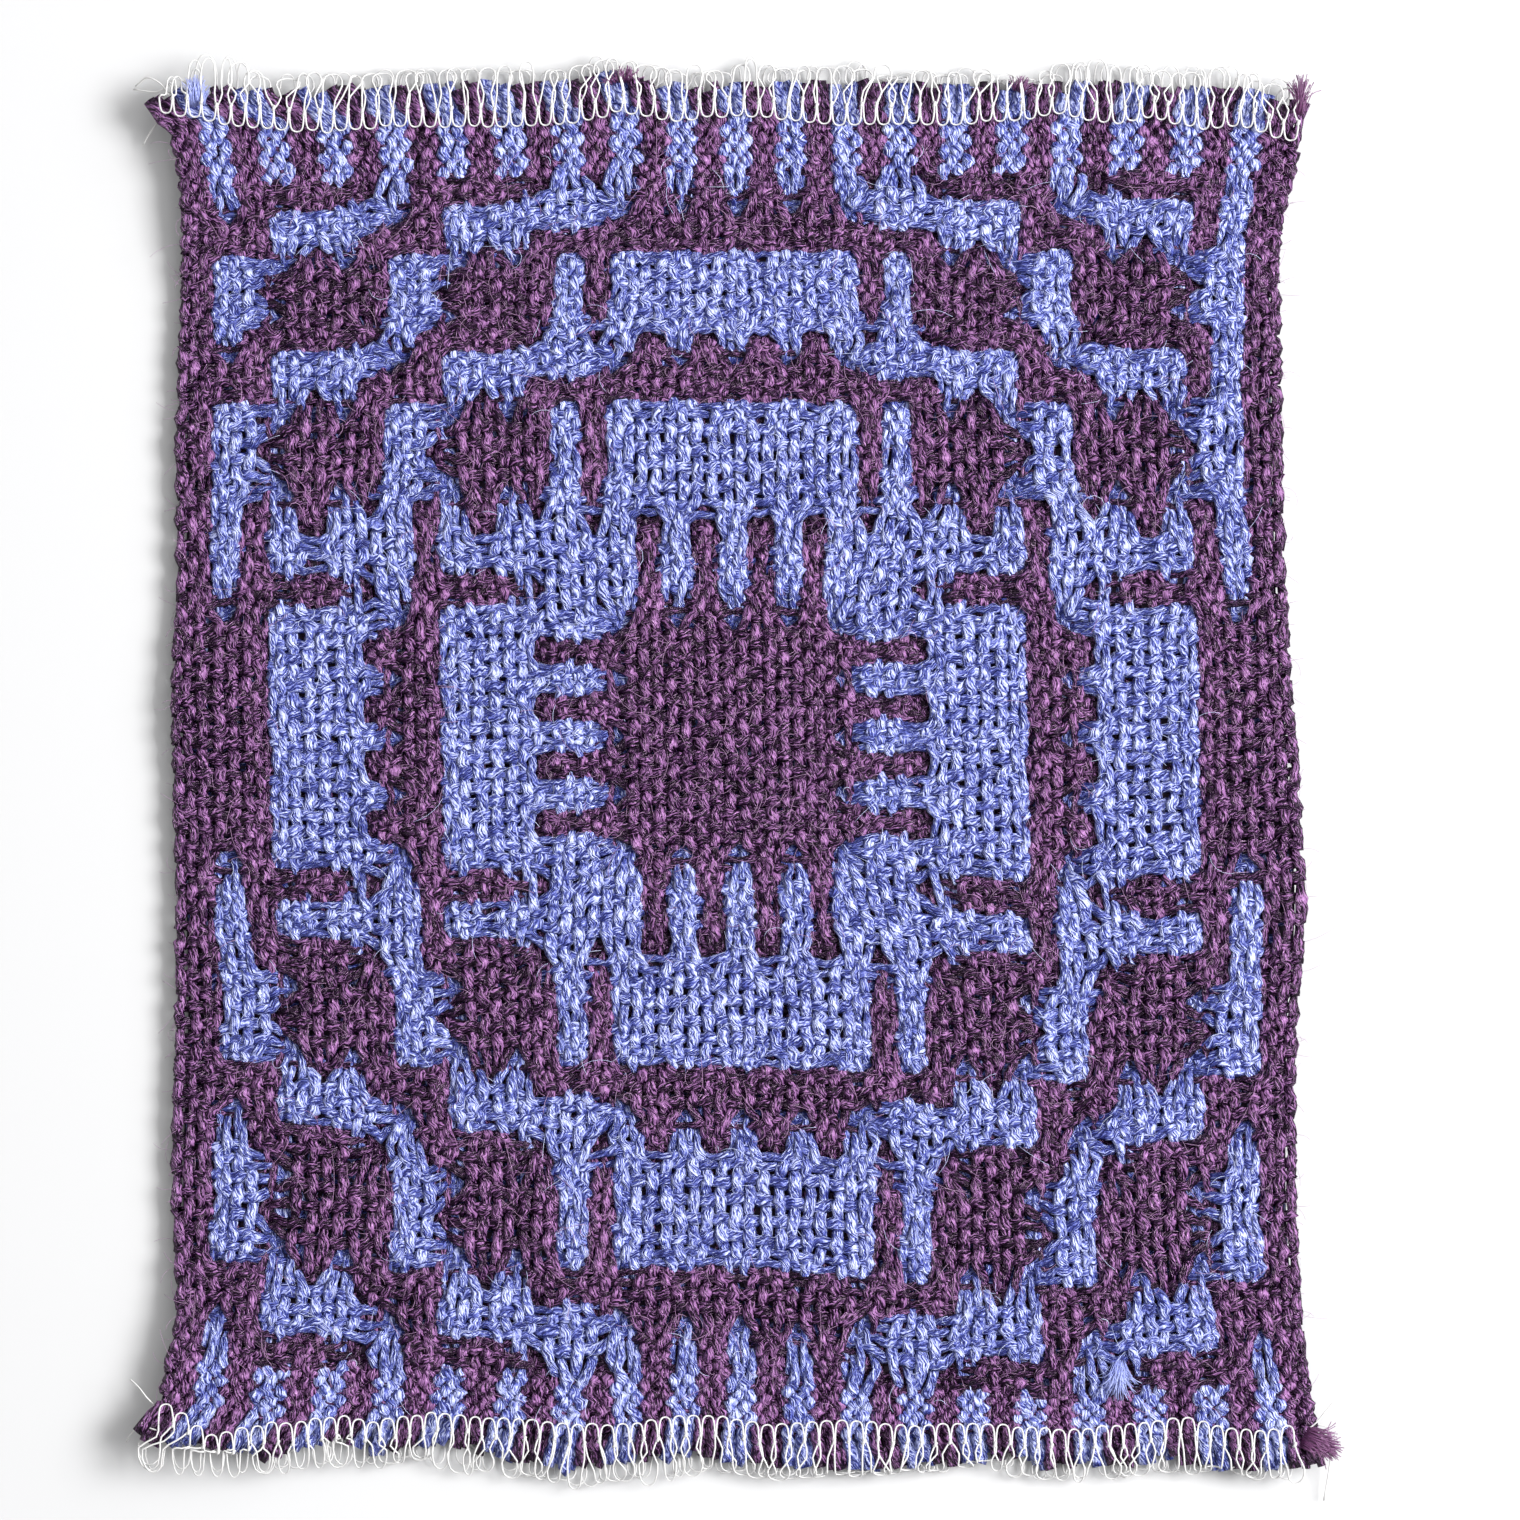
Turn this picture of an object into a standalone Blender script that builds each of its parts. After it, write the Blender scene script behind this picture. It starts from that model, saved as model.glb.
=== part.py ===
"""A hand-woven sample of double cloth, lying flat: one thin sheet with an uneven outline.

The sheet lies on its underside at z = 0. X runs along the weft, Y along the warp.
Two corners stand a few millimetres clear of the surface, as the sewn ends curl there.
"""

import math

import bpy

# Driving dimensions, in metres
WIDTH = 0.1260            # from selvedge to selvedge, at mid length
LENGTH = 0.1523           # from cut end to cut end, overlocked edges included
THICKNESS = 0.0024        # two layers of plain weave
RIM_ROUND = 0.0007        # rounding of the sheet's rim
COLUMNS = 26              # cells across the width
ROWS = 30                 # cells along the length
EDGE_CROWDING = 0.65      # 0 spaces the cells evenly, near 1 crowds them at the edges
FLAT_WIDTH = 0.0752       # the middle that lies dead flat on the surface
FLAT_LENGTH = 0.1022
RIM_LIFT = 0.0004         # how far the springy rim stands off the surface all round

MM = 0.001

# How far each side runs out beyond (+) or in from (-) the plain rectangle, in mm.
# "at" is the place along the side, from its middle; "out" is the distance.
LEFT_SIDE = [
    {"at": -76.0, "out": 2.3},
    {"at": -70.5, "out": 1.4},
    {"at": -62.0, "out": 0.8},
    {"at": -40.0, "out": 0.2},
    {"at": -10.0, "out": 0.0},
    {"at": 6.0, "out": 0.4},
    {"at": 18.0, "out": 0.2},
    {"at": 30.0, "out": -0.3},
    {"at": 50.0, "out": 0.0},
    {"at": 64.0, "out": 0.0},
    {"at": 73.0, "out": 1.3},
    {"at": 76.0, "out": 0.9},
]
RIGHT_SIDE = [
    {"at": -76.0, "out": 2.6},
    {"at": -70.5, "out": 1.8},
    {"at": -62.0, "out": 0.6},
    {"at": -40.0, "out": 0.6},
    {"at": -15.0, "out": 0.9},
    {"at": 6.0, "out": 0.1},
    {"at": 18.0, "out": -0.7},
    {"at": 32.0, "out": -1.8},
    {"at": 50.0, "out": -2.0},
    {"at": 63.0, "out": -1.2},
    {"at": 70.0, "out": 0.7},
    {"at": 76.0, "out": -0.4},
]
TOP_SIDE = [
    {"at": -63.0, "out": 0.4},
    {"at": -45.0, "out": 0.0},
    {"at": -22.0, "out": 0.3},
    {"at": -13.0, "out": 1.0},
    {"at": -4.0, "out": 0.3},
    {"at": 15.0, "out": 0.2},
    {"at": 31.0, "out": -0.7},
    {"at": 48.0, "out": -0.2},
    {"at": 63.0, "out": 0.3},
]
BOTTOM_SIDE = [
    {"at": -64.0, "out": -1.0},
    {"at": -54.0, "out": -0.5},
    {"at": -44.0, "out": -1.1},
    {"at": -30.0, "out": -0.6},
    {"at": -20.0, "out": 0.0},
    {"at": -6.0, "out": -1.0},
    {"at": 4.0, "out": 0.9},
    {"at": 13.0, "out": 1.6},
    {"at": 22.0, "out": 0.5},
    {"at": 38.0, "out": 0.7},
    {"at": 50.0, "out": -0.4},
    {"at": 63.0, "out": 0.8},
]

# Where the sheet stands clear of the surface, in mm: a soft rise round each place
RISES = [
    {"place": "top left corner", "x": -65.0, "y": 77.0, "reach": 30.0, "height": 3.6},
    {"place": "bottom left corner", "x": -66.0, "y": -77.0, "reach": 32.0, "height": 4.0},
    {"place": "bottom right corner", "x": 66.0, "y": -77.0, "reach": 24.0, "height": 2.4},
    {"place": "top right corner", "x": 64.0, "y": 77.0, "reach": 18.0, "height": 1.6},
    {"place": "left selvedge", "x": -66.0, "y": 8.0, "reach": 18.0, "height": 1.0},
    {"place": "right selvedge", "x": 66.0, "y": -22.0, "reach": 16.0, "height": 0.8},
    {"place": "top end", "x": -13.0, "y": 79.0, "reach": 17.0, "height": 1.2},
    {"place": "bottom end", "x": 13.0, "y": -80.0, "reach": 18.0, "height": 1.2},
]

CLOTH_COLOUR = (0.235, 0.150, 0.400, 1.0)   # between the plum and the blue yarn
CLOTH_ROUGHNESS = 0.85


def clear_scene():
    for obj in list(bpy.data.objects):
        bpy.data.objects.remove(obj, do_unlink=True)


def new_collection(name):
    collection = bpy.data.collections.new(name)
    bpy.context.scene.collection.children.link(collection)
    return collection


def cloth_material():
    material = bpy.data.materials.new("cloth")
    material.use_nodes = True
    shader = material.node_tree.nodes["Principled BSDF"]
    shader.inputs["Base Color"].default_value = CLOTH_COLOUR
    shader.inputs["Roughness"].default_value = CLOTH_ROUGHNESS
    shader.inputs["Metallic"].default_value = 0.0
    return material


def ease(t):
    """A soft step from 0 to 1."""
    t = min(max(t, 0.0), 1.0)
    return t * t * (3.0 - 2.0 * t)


def run_out(side, at):
    """How far a side runs out at a place along it, in metres, eased between the table's rows."""
    at_mm = at / MM
    if at_mm <= side[0]["at"]:
        return side[0]["out"] * MM
    for before, after in zip(side, side[1:]):
        if at_mm <= after["at"]:
            share = (at_mm - before["at"]) / (after["at"] - before["at"])
            return (before["out"] + (after["out"] - before["out"]) * ease(share)) * MM
    return side[-1]["out"] * MM


def crowded(t):
    """Moves a place from -1 to 1 so that the cells lie closer towards both ends."""
    return (1.0 - EDGE_CROWDING) * t + EDGE_CROWDING * math.sin(t * math.pi / 2.0)


def past_flat(place, flat, full):
    """0 on the flat middle, growing to 1 at the rim."""
    return max(0.0, (abs(place) - flat / 2.0) / (full / 2.0 - flat / 2.0))


def outline_place(u, v):
    """The place in the sheet's plan of u (across) and v (along), both from -1 to 1."""
    plain_x = u * WIDTH / 2.0
    plain_y = v * LENGTH / 2.0
    side_x = RIGHT_SIDE if u > 0.0 else LEFT_SIDE
    side_y = TOP_SIDE if v > 0.0 else BOTTOM_SIDE
    share_x = past_flat(plain_x, FLAT_WIDTH, WIDTH)
    share_y = past_flat(plain_y, FLAT_LENGTH, LENGTH)
    x = plain_x + math.copysign(run_out(side_x, plain_y) * share_x, u)
    y = plain_y + math.copysign(run_out(side_y, plain_x) * share_y, v)
    return x, y


def rise(x, y):
    """Height of the underside over the surface: the rim's lift, or the tallest rise that reaches here."""
    share = max(past_flat(x, FLAT_WIDTH, WIDTH), past_flat(y, FLAT_LENGTH, LENGTH))
    height = RIM_LIFT * math.sqrt(min(share, 1.0))
    for row in RISES:
        distance = math.hypot(x - row["x"] * MM, y - row["y"] * MM)
        height = max(height, row["height"] * MM * ease(1.0 - distance / (row["reach"] * MM)))
    return height


def centre_on_box(mesh):
    """Moves the sheet in plan so that the middle of its box is over the origin."""
    xs = [vertex.co.x for vertex in mesh.vertices]
    ys = [vertex.co.y for vertex in mesh.vertices]
    middle_x = (min(xs) + max(xs)) / 2.0
    middle_y = (min(ys) + max(ys)) / 2.0
    for vertex in mesh.vertices:
        vertex.co.x -= middle_x
        vertex.co.y -= middle_y


def make_cloth(collection):
    bpy.ops.mesh.primitive_grid_add(x_subdivisions=COLUMNS, y_subdivisions=ROWS, size=2.0)
    cloth = bpy.context.object
    cloth.name = "cloth"
    cloth.data.name = "cloth"
    for vertex in cloth.data.vertices:
        x, y = outline_place(crowded(vertex.co.x), crowded(vertex.co.y))
        vertex.co = (x, y, rise(x, y))
    centre_on_box(cloth.data)

    body = cloth.modifiers.new("body", "SOLIDIFY")
    body.thickness = THICKNESS
    body.offset = 1.0
    body.use_even_offset = True

    rim = cloth.modifiers.new("rim", "BEVEL")
    rim.width = RIM_ROUND
    rim.segments = 2
    rim.limit_method = "ANGLE"
    rim.angle_limit = math.radians(50.0)

    cloth.data.shade_smooth()
    cloth.data.set_sharp_from_angle(angle=math.radians(50.0))
    cloth.data.materials.append(cloth_material())
    for old in list(cloth.users_collection):
        old.objects.unlink(cloth)
    collection.objects.link(cloth)
    return cloth


def main():
    clear_scene()
    parts = new_collection("woven_sample")
    make_cloth(parts)


main()
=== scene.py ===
"""The woven sample: every warp end and weft pick of the double cloth, its overlocked ends and its fuzz.

Two plain weaves, one blue and one plum, lie on each other and change places block by block.
Sizes are in millimetres until a mesh is made. X runs along the weft and Y along the warp.
Cloth places use a grid of blocks: u counts columns of four ends from the middle column,
v counts rows of four picks from the middle row, upwards in the photo.
"""

import math

import bpy
import numpy as np
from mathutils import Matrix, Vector


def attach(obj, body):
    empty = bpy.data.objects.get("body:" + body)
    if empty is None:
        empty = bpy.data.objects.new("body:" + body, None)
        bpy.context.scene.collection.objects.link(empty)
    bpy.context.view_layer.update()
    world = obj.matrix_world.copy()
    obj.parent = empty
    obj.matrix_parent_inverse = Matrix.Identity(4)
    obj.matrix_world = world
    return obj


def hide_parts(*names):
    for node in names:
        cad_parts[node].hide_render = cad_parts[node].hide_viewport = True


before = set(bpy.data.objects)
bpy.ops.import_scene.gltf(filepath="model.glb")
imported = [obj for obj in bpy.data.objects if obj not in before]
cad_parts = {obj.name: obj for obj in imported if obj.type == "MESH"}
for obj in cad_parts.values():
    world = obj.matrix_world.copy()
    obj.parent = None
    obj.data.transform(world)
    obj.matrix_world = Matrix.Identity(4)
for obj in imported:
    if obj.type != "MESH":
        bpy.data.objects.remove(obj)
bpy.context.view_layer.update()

MM = 0.001


def short_table(columns, rows):
    """A dictionary for each row, with the columns' names."""
    return [dict(zip(columns.split(), row)) for row in rows]


# The yarn and the cloth, in mm

CLOTH_THICK = 2.4          # both layers together
LAYER_OFFSET = 0.50        # each layer's middle above or below the cloth's middle
WARP_WAVE = 0.42           # how far an end rises and dips through its own layer
WEFT_WAVE = 0.18           # picks bend less, so the ends stand proud of them
END_WIDTH = 1.30           # an end with room to lie flat
PICK_WIDTH = 1.42          # a pick with room to lie flat
CROWDED_WIDTH = 0.95       # a yarn among crowded neighbours
YARN_AREA = 0.88           # width times thickness
PLUM_SLIM = 0.965          # the plum yarn is a little finer than the blue
BLUE_SIDES = 6             # faces round a yarn; the plum one has more length and so gets fewer
PLUM_SIDES = 5
THREAD_SIDES = 5
FIBRE_SIDES = 3
BULGE = 0.12               # share that a yarn swells where it shows; where it dips it shrinks
CROWDED_BULGE = 0.34       # the same among crowded neighbours
UNEVEN_SIDE = 0.11         # how far a yarn strays sideways from ring to ring
UNEVEN_RISE = 0.065        # and how far up or down
UNEVEN_WIDTH = 0.10        # as a share of the width
SURFACE_GAP = 0.03         # the least room between a yarn and the surface below the cloth
END_BLOCK = 19             # the outermost column or row of blocks on each side
BLOCK_ENDS = 4             # yarns in a block

# The draft

# Blocks from the middle outwards. A capital is a block of blue yarns, a small letter one of plum.
BLOCK_ORDER = "AaAaAdDdCcCaAdCcCaAd"

# Which colour shows where two blocks cross: one letter each way, without regard to colour.
# "by" names the block whose own colour shows, where that decides it.
TIE_UP = [
    {"pair": "AA", "face": "plum", "by": None},
    {"pair": "CC", "face": "plum", "by": None},
    {"pair": "DD", "face": "blue", "by": None},
    {"pair": "AC", "face": "blue", "by": None},
    {"pair": "AD", "face": None, "by": "A"},
    {"pair": "CD", "face": None, "by": "D"},
]
ODD_ROW = 7                # here the weaver let C decide against D, which gives a row of blue teeth

# Blocks where blue runs on past the draft: 1 for a whole block, less for a neck or a longer tip
SLIPS = short_table("row column blue", [
    (18, 18, 1.0),
    (17, 18, 0.72),
    (12, 18, 0.84),
    (11, 18, 0.76),
    (18, -18, 0.35),
    (-12, -18, 0.4),
    (-12, 18, 0.4),
    (-18, -18, 0.42),
    (-18, -2, 0.35),
    (-18, 0, 0.35),
    (-18, 2, 0.35),
    (-18, 18, 0.45),
])

# The lie of the cloth, in mm

# Where the columns run at several rows: x at each of the knots, from edge to edge
COLUMN_KNOTS = [-19.5, -18.0, -12.0, -6.0, 0.0, 6.0, 12.0, 18.0, 19.5]
COLUMN_PLACES = [
    {"row": -22.6, "x": [-65.6, -59.7, -39.3, -18.9, 0.4, 20.1, 39.7, 60.5, 65.7]},
    {"row": -18.7, "x": [-62.4, -58.3, -38.5, -18.5, 0.5, 19.8, 39.1, 59.2, 63.5]},
    {"row": -14.6, "x": [-63.1, -56.6, -36.5, -18.3, 0.8, 20.3, 38.5, 56.6, 62.5]},
    {"row": -8.5, "x": [-62.5, -55.0, -36.5, -18.4, 0.6, 19.5, 37.4, 56.8, 62.6]},
    {"row": -5.5, "x": [-62.7, -56.5, -37.4, -18.8, 0.3, 19.0, 38.0, 56.8, 63.8]},
    {"row": 2.3, "x": [-63.1, -57.1, -37.9, -19.1, -0.1, 18.3, 37.7, 56.3, 62.0]},
    {"row": 5.2, "x": [-62.5, -57.3, -38.1, -19.2, -0.3, 18.0, 37.6, 56.1, 61.3]},
    {"row": 9.0, "x": [-62.6, -56.7, -37.7, -19.2, -0.4, 17.9, 35.9, 54.6, 61.0]},
    {"row": 16.0, "x": [-62.0, -57.0, -37.0, -18.7, 0.0, 18.0, 35.7, 55.1, 60.6]},
    {"row": 18.4, "x": [-61.8, -56.7, -37.6, -18.6, 0.1, 18.2, 36.3, 56.0, 61.1]},
    {"row": 20.3, "x": [-62.4, -58.1, -38.1, -18.5, 0.2, 18.3, 36.9, 57.0, 62.8]},
    {"row": 22.6, "x": [-64.2, -59.4, -38.8, -19.3, 0.0, 18.1, 37.1, 57.2, 62.9]},
]

# How far the blocks in line with the plum middle are moved to the right or upwards (+), at their knots
DRAWN_KNOTS = [-16.5, -13.5, -10.5, -7.5, -4.5, -2.8, 2.8, 4.5, 7.5, 10.5, 13.5, 16.5]
DRAWN_ACROSS = [0.0, 1.1, 0.0, 1.3, 0.5, 0.0, 0.0, -1.9, -1.9, -0.3, -2.4, 0.0]
DRAWN_ALONG = [0.0, 1.7, 0.0, 1.2, 1.1, 0.0, 0.0, -0.9, -1.7, 0.0, 0.0, 0.0]
EDGE_INSET = 0.55          # the outermost yarn's middle lies this far inside the outline
INSET_FROM = 17.0          # column from which the weave gives way for that
INSET_OVER = 2.5

# The mean height of several rows
ROW_PLACES = short_table("row y", [
    (-22.6, -77.2), (-19.5, -67.1), (-18.5, -62.9), (-16.5, -55.2), (-12.5, -40.0),
    (-10.5, -32.6), (-4.5, -10.3), (0.0, 4.1), (4.5, 18.4), (10.5, 41.7), (12.5, 47.7),
    (16.5, 58.2), (18.5, 63.6), (19.5, 66.6), (22.6, 77.2),
])

# Where rows sag (-) or rise (+) against their mean height, in mm, from the left to the right
SAG_KNOTS = [-64.0, -45.0, -22.0, 0.0, 22.0, 36.0, 60.0]
ROW_SAG = [
    {"row": -21.5, "y": [0.0, -0.2, 0.0, 0.0, -0.3, -0.3, -0.3]},
    {"row": -19.5, "y": [2.4, -1.1, -0.4, 0.8, -2.2, -3.1, -0.3]},
    {"row": -16.5, "y": [1.0, -0.4, -0.3, 0.1, -1.9, -2.2, -1.4]},
    {"row": -12.5, "y": [3.0, 0.3, -0.1, -0.2, -1.3, -2.1, 0.0]},
    {"row": -10.0, "y": [0.2, -0.2, -0.2, -0.2, -0.8, -2.0, -1.4]},
    {"row": -6.5, "y": [-0.4, -0.8, -0.7, 0.0, -1.6, -3.2, -2.5]},
    {"row": -4.5, "y": [0.0, -0.3, -0.3, 0.0, -0.3, -1.8, -0.2]},
    {"row": 0.0, "y": [0.0, -0.2, 0.0, 0.0, 0.0, 0.0, 0.0]},
    {"row": 5.0, "y": [0.0, 0.0, 0.0, 0.0, 0.0, 0.0, 0.0]},
    {"row": 7.0, "y": [0.2, 0.5, 0.5, 0.3, 0.5, 0.5, 0.4]},
    {"row": 10.5, "y": [-0.2, -0.4, -0.1, 0.0, 0.0, -0.3, 0.2]},
    {"row": 13.3, "y": [-0.7, -0.8, -0.9, -1.5, -0.9, -0.5, -0.4]},
    {"row": 16.5, "y": [-0.6, -0.5, -0.2, 0.0, -0.2, 0.0, 0.4]},
    {"row": 19.0, "y": [-1.2, -0.8, -0.4, 0.2, 0.0, 0.3, 0.6]},
    {"row": 21.5, "y": [-0.2, -0.1, 0.0, 0.0, 0.0, -0.1, -0.1]},
]

# How far the cut ends lean over along each end, in mm: to the right (+) or left (-)
END_LEAN = short_table("x top bottom", [
    (-60.0, -1.9, -2.0), (-45.0, -1.3, -1.8), (-30.0, -1.0, -1.0), (0.0, -0.5, -0.4),
    (12.0, 0.2, 0.8), (30.0, 0.5, 0.2), (45.0, 1.0, 0.3), (62.0, 1.2, 0.4),
])

# How far the cut ends run out beyond (+) or in from (-) their mean line
MEAN_END = 77.2
TOP_END = short_table("x out", [
    (-64.0, -1.9), (-58.8, -0.3), (-50.0, -0.6), (-32.0, 0.3), (-18.5, 0.4), (-13.9, 1.4),
    (-8.3, 0.2), (10.0, 0.4), (25.0, 0.1), (42.0, 0.5), (47.5, -0.2), (56.0, -0.4),
    (61.5, -2.0),
])
BOTTOM_END = short_table("x out", [
    (-66.5, -4.5), (-63.5, -2.2), (-55.0, -1.6), (-50.5, -0.6), (-43.0, -2.6),
    (-38.0, -0.7), (-34.6, -1.8), (-27.0, -0.4), (-18.0, 1.0), (-9.0, 0.0), (-3.5, -0.6),
    (3.0, 0.7), (14.0, 0.9), (29.0, -0.4), (35.0, 0.7), (47.0, 0.0), (58.0, 0.7),
    (64.0, 0.3),
])

# Where the sheet stands clear of the surface: a soft rise round each place
RISES = short_table("x y reach height", [
    (-65.2, 77.3, 30.0, 3.6),
    (-66.2, -76.7, 32.0, 4.0),
    (65.8, -76.7, 24.0, 2.4),
    (63.8, 77.3, 18.0, 1.6),
    (-66.2, 8.3, 18.0, 1.0),
    (65.8, -21.7, 16.0, 0.8),
    (-13.2, 79.3, 17.0, 1.2),
    (12.8, -79.7, 18.0, 1.2),
])
FLAT_HALF = (37.6, 51.1)   # the middle that lies dead flat
SHEET_HALF = (63.0, 76.15)  # the whole sheet
RIM_LIFT = 0.4             # how far the rim stands off the surface all round

rng = np.random.default_rng(38)


# Small helpers


def ease(t):
    """A soft step from 0 to 1."""
    t = np.clip(t, 0.0, 1.0)
    return t * t * (3.0 - 2.0 * t)


def blurred(values, sigma):
    """Smooths a row of evenly spaced values, sigma in samples."""
    reach = int(math.ceil(3.0 * sigma))
    kernel = np.exp(-0.5 * (np.arange(-reach, reach + 1) / sigma) ** 2)
    padded = np.pad(values, reach, mode="edge")
    return np.convolve(padded, kernel / kernel.sum(), mode="valid")


def wander(count, step, amount):
    """A smooth random run of count values, with a new turn every step values."""
    knots = rng.normal(0.0, amount, int(count / step) + 4)
    places = np.arange(count) / step + 1.0
    whole = np.floor(places).astype(int)
    part = ease(places - whole)
    return knots[whole] * (1.0 - part) + knots[whole + 1] * part


def table_value(table, key, value, at):
    """Reads a column of a table between its rows."""
    return np.interp(at, [row[key] for row in table], [row[value] for row in table])


# The draft, as the face of every block crossing


def block_letter(index):
    """A block's letter, which is the same on both sides of the middle."""
    return BLOCK_ORDER[abs(index)]


def face_is_blue(row, column):
    """Whether blue shows where two blocks cross, as the tie-up says."""
    if abs(column) == END_BLOCK:
        return False
    pair = block_letter(row), block_letter(column)
    for tie in TIE_UP:
        if sorted(tie["pair"]) == sorted((pair[0].upper(), pair[1].upper())):
            if tie["face"]:
                return tie["face"] == "blue"
            by = "C" if row == ODD_ROW and tie["pair"] == "CD" else tie["by"]
            return any(letter == by for letter in pair)
    raise ValueError(pair)


BLOCKS = np.arange(-END_BLOCK, END_BLOCK + 1)
FACE = np.array([[face_is_blue(row, column) for column in BLOCKS] for row in BLOCKS], float)
for slip in SLIPS:
    FACE[slip["row"] + END_BLOCK, slip["column"] + END_BLOCK] = slip["blue"]


# From the grid of blocks to the cloth's place in mm

GRID_STEP = 0.25           # blocks from one place of the grid to the next
GRID_HALF = (20.5, 24.0)   # how far the grid reaches from the middle, across and along
GRID_COLUMNS = np.arange(-GRID_HALF[0], GRID_HALF[0] + 0.01, GRID_STEP)
GRID_ROWS = np.arange(-GRID_HALF[1], GRID_HALF[1] + 0.01, GRID_STEP)
GRID_RIM = 8               # places at each edge that a blur leaves alone, so that the edge keeps its line
SOFT = 2.0                 # blur of the grids, in their steps
COLUMN_SOFT = 2.5
SAG_SOFT = 5.0
MIDDLE_HALF = 6.8          # the plum middle with its fingers, in blocks
MIDDLE_FADE = 1.8
COLUMN_WIDTH = 3.22        # mean width of a column, in mm
ENDS_FROM = 15.0           # row from which the weave follows the cut end
ENDS_OVER = 7.6


def beside_middle(places):
    """1 along the plum middle of the cloth, fading to 0 past its fingers."""
    return ease((MIDDLE_HALF - np.abs(places)) / MIDDLE_FADE)


def column_grid():
    """x for each place of the grid, eased between the table's rows."""
    rows = [place["row"] for place in COLUMN_PLACES]
    across = np.array([np.interp(GRID_COLUMNS, COLUMN_KNOTS, place["x"]) for place in COLUMN_PLACES])
    across -= EDGE_INSET * np.sign(GRID_COLUMNS) * ease((np.abs(GRID_COLUMNS) - INSET_FROM) / INSET_OVER)
    grid = np.array([np.interp(GRID_ROWS, rows, across[:, i]) for i in range(len(GRID_COLUMNS))]).T
    grid += np.outer(beside_middle(GRID_ROWS), np.interp(GRID_COLUMNS, DRAWN_KNOTS, DRAWN_ACROSS))
    for i in range(grid.shape[1]):
        grid[:, i] = blurred(grid[:, i], COLUMN_SOFT)
    for i in range(grid.shape[0]):
        grid[i, GRID_RIM:-GRID_RIM] = blurred(grid[i], SOFT)[GRID_RIM:-GRID_RIM]
    return grid


def sag_grid():
    """How far each place of the grid sags below, or rises above, its row's mean height."""
    rows = [place["row"] for place in ROW_SAG]
    across = np.array([np.interp(GRID_COLUMNS * COLUMN_WIDTH, SAG_KNOTS, place["y"]) for place in ROW_SAG])
    grid = np.array([np.interp(GRID_ROWS, rows, across[:, i]) for i in range(len(GRID_COLUMNS))]).T
    grid = np.array([blurred(line, SAG_SOFT) for line in grid])
    return np.array([blurred(line, SOFT) for line in grid.T]).T


def row_grid(x_grid):
    """y for each place of the grid."""
    base = table_value(ROW_PLACES, "row", "y", GRID_ROWS)
    base[GRID_RIM:-GRID_RIM] = blurred(base, SOFT)[GRID_RIM:-GRID_RIM]
    grid = np.repeat(base[:, None], len(GRID_COLUMNS), axis=1) + sag_grid()
    grid += np.outer(np.interp(GRID_ROWS, DRAWN_KNOTS, DRAWN_ALONG), beside_middle(GRID_COLUMNS))
    top, bottom = (ease((way * GRID_ROWS - ENDS_FROM) / ENDS_OVER)[:, None] for way in (1.0, -1.0))
    top = top * table_value(TOP_END, "x", "out", x_grid)
    bottom = bottom * table_value(BOTTOM_END, "x", "out", x_grid)
    return grid + top - bottom


X_GRID = column_grid()
Y_GRID = row_grid(X_GRID)


def between(grid, across, up):
    """Reads a grid between its places, with both distances from its corner in steps."""
    column, row = across.astype(int), up.astype(int)
    right, above = across - column, up - row
    low = grid[row, column] * (1 - right) + grid[row, column + 1] * right
    high = grid[row + 1, column] * (1 - right) + grid[row + 1, column + 1] * right
    return low * (1 - above) + high * above


def steps_from(places, at):
    """How many steps of the grid a place is from the grid's first one, kept just inside its last."""
    return (np.clip(at, places[0], places[-1] - 1e-6) - places[0]) / GRID_STEP


def cloth_place(u, v):
    """The place in mm, in plan, of a place in blocks."""
    across = steps_from(GRID_COLUMNS, np.asarray(u, float))
    up = steps_from(GRID_ROWS, np.asarray(v, float))
    return between(X_GRID, across, up), between(Y_GRID, across, up)


def underside(x, y):
    """Height of the cloth's underside over the surface that it lies on."""
    past_x = (np.abs(x) - FLAT_HALF[0]) / (SHEET_HALF[0] - FLAT_HALF[0])
    past_y = (np.abs(y) - FLAT_HALF[1]) / (SHEET_HALF[1] - FLAT_HALF[1])
    height = RIM_LIFT * np.sqrt(np.clip(np.maximum(past_x, past_y), 0.0, 1.0))
    for rise in RISES:
        distance = np.hypot(x - rise["x"], y - rise["y"])
        height = np.maximum(height, rise["height"] * ease(1.0 - distance / rise["reach"]))
    return height


# How yarns spread and crowd, and which layer they run in

SAMPLES = 24               # per block, along a yarn
REACH = 24                 # blocks from the middle to the ends of the tables below
ALONG = (np.arange(2 * REACH * SAMPLES) + 0.5) / SAMPLES - REACH
SPREAD_SOFT = 0.14         # how gently yarns spread and close up again, in blocks
SELVEDGE_SPREAD = 0.3      # spread on the side that has no neighbour
STRAY = 0.04               # how far a yarn wanders from its place, in blocks
STRAY_LENGTH = 0.8
PAST_PATTERN = 0.6         # blocks past the last row's middle, where the pattern has ended
PATTERN_END = 0.62         # the same for the layers, which meet over a short way
LAYERS_MEET = 0.35


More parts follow.
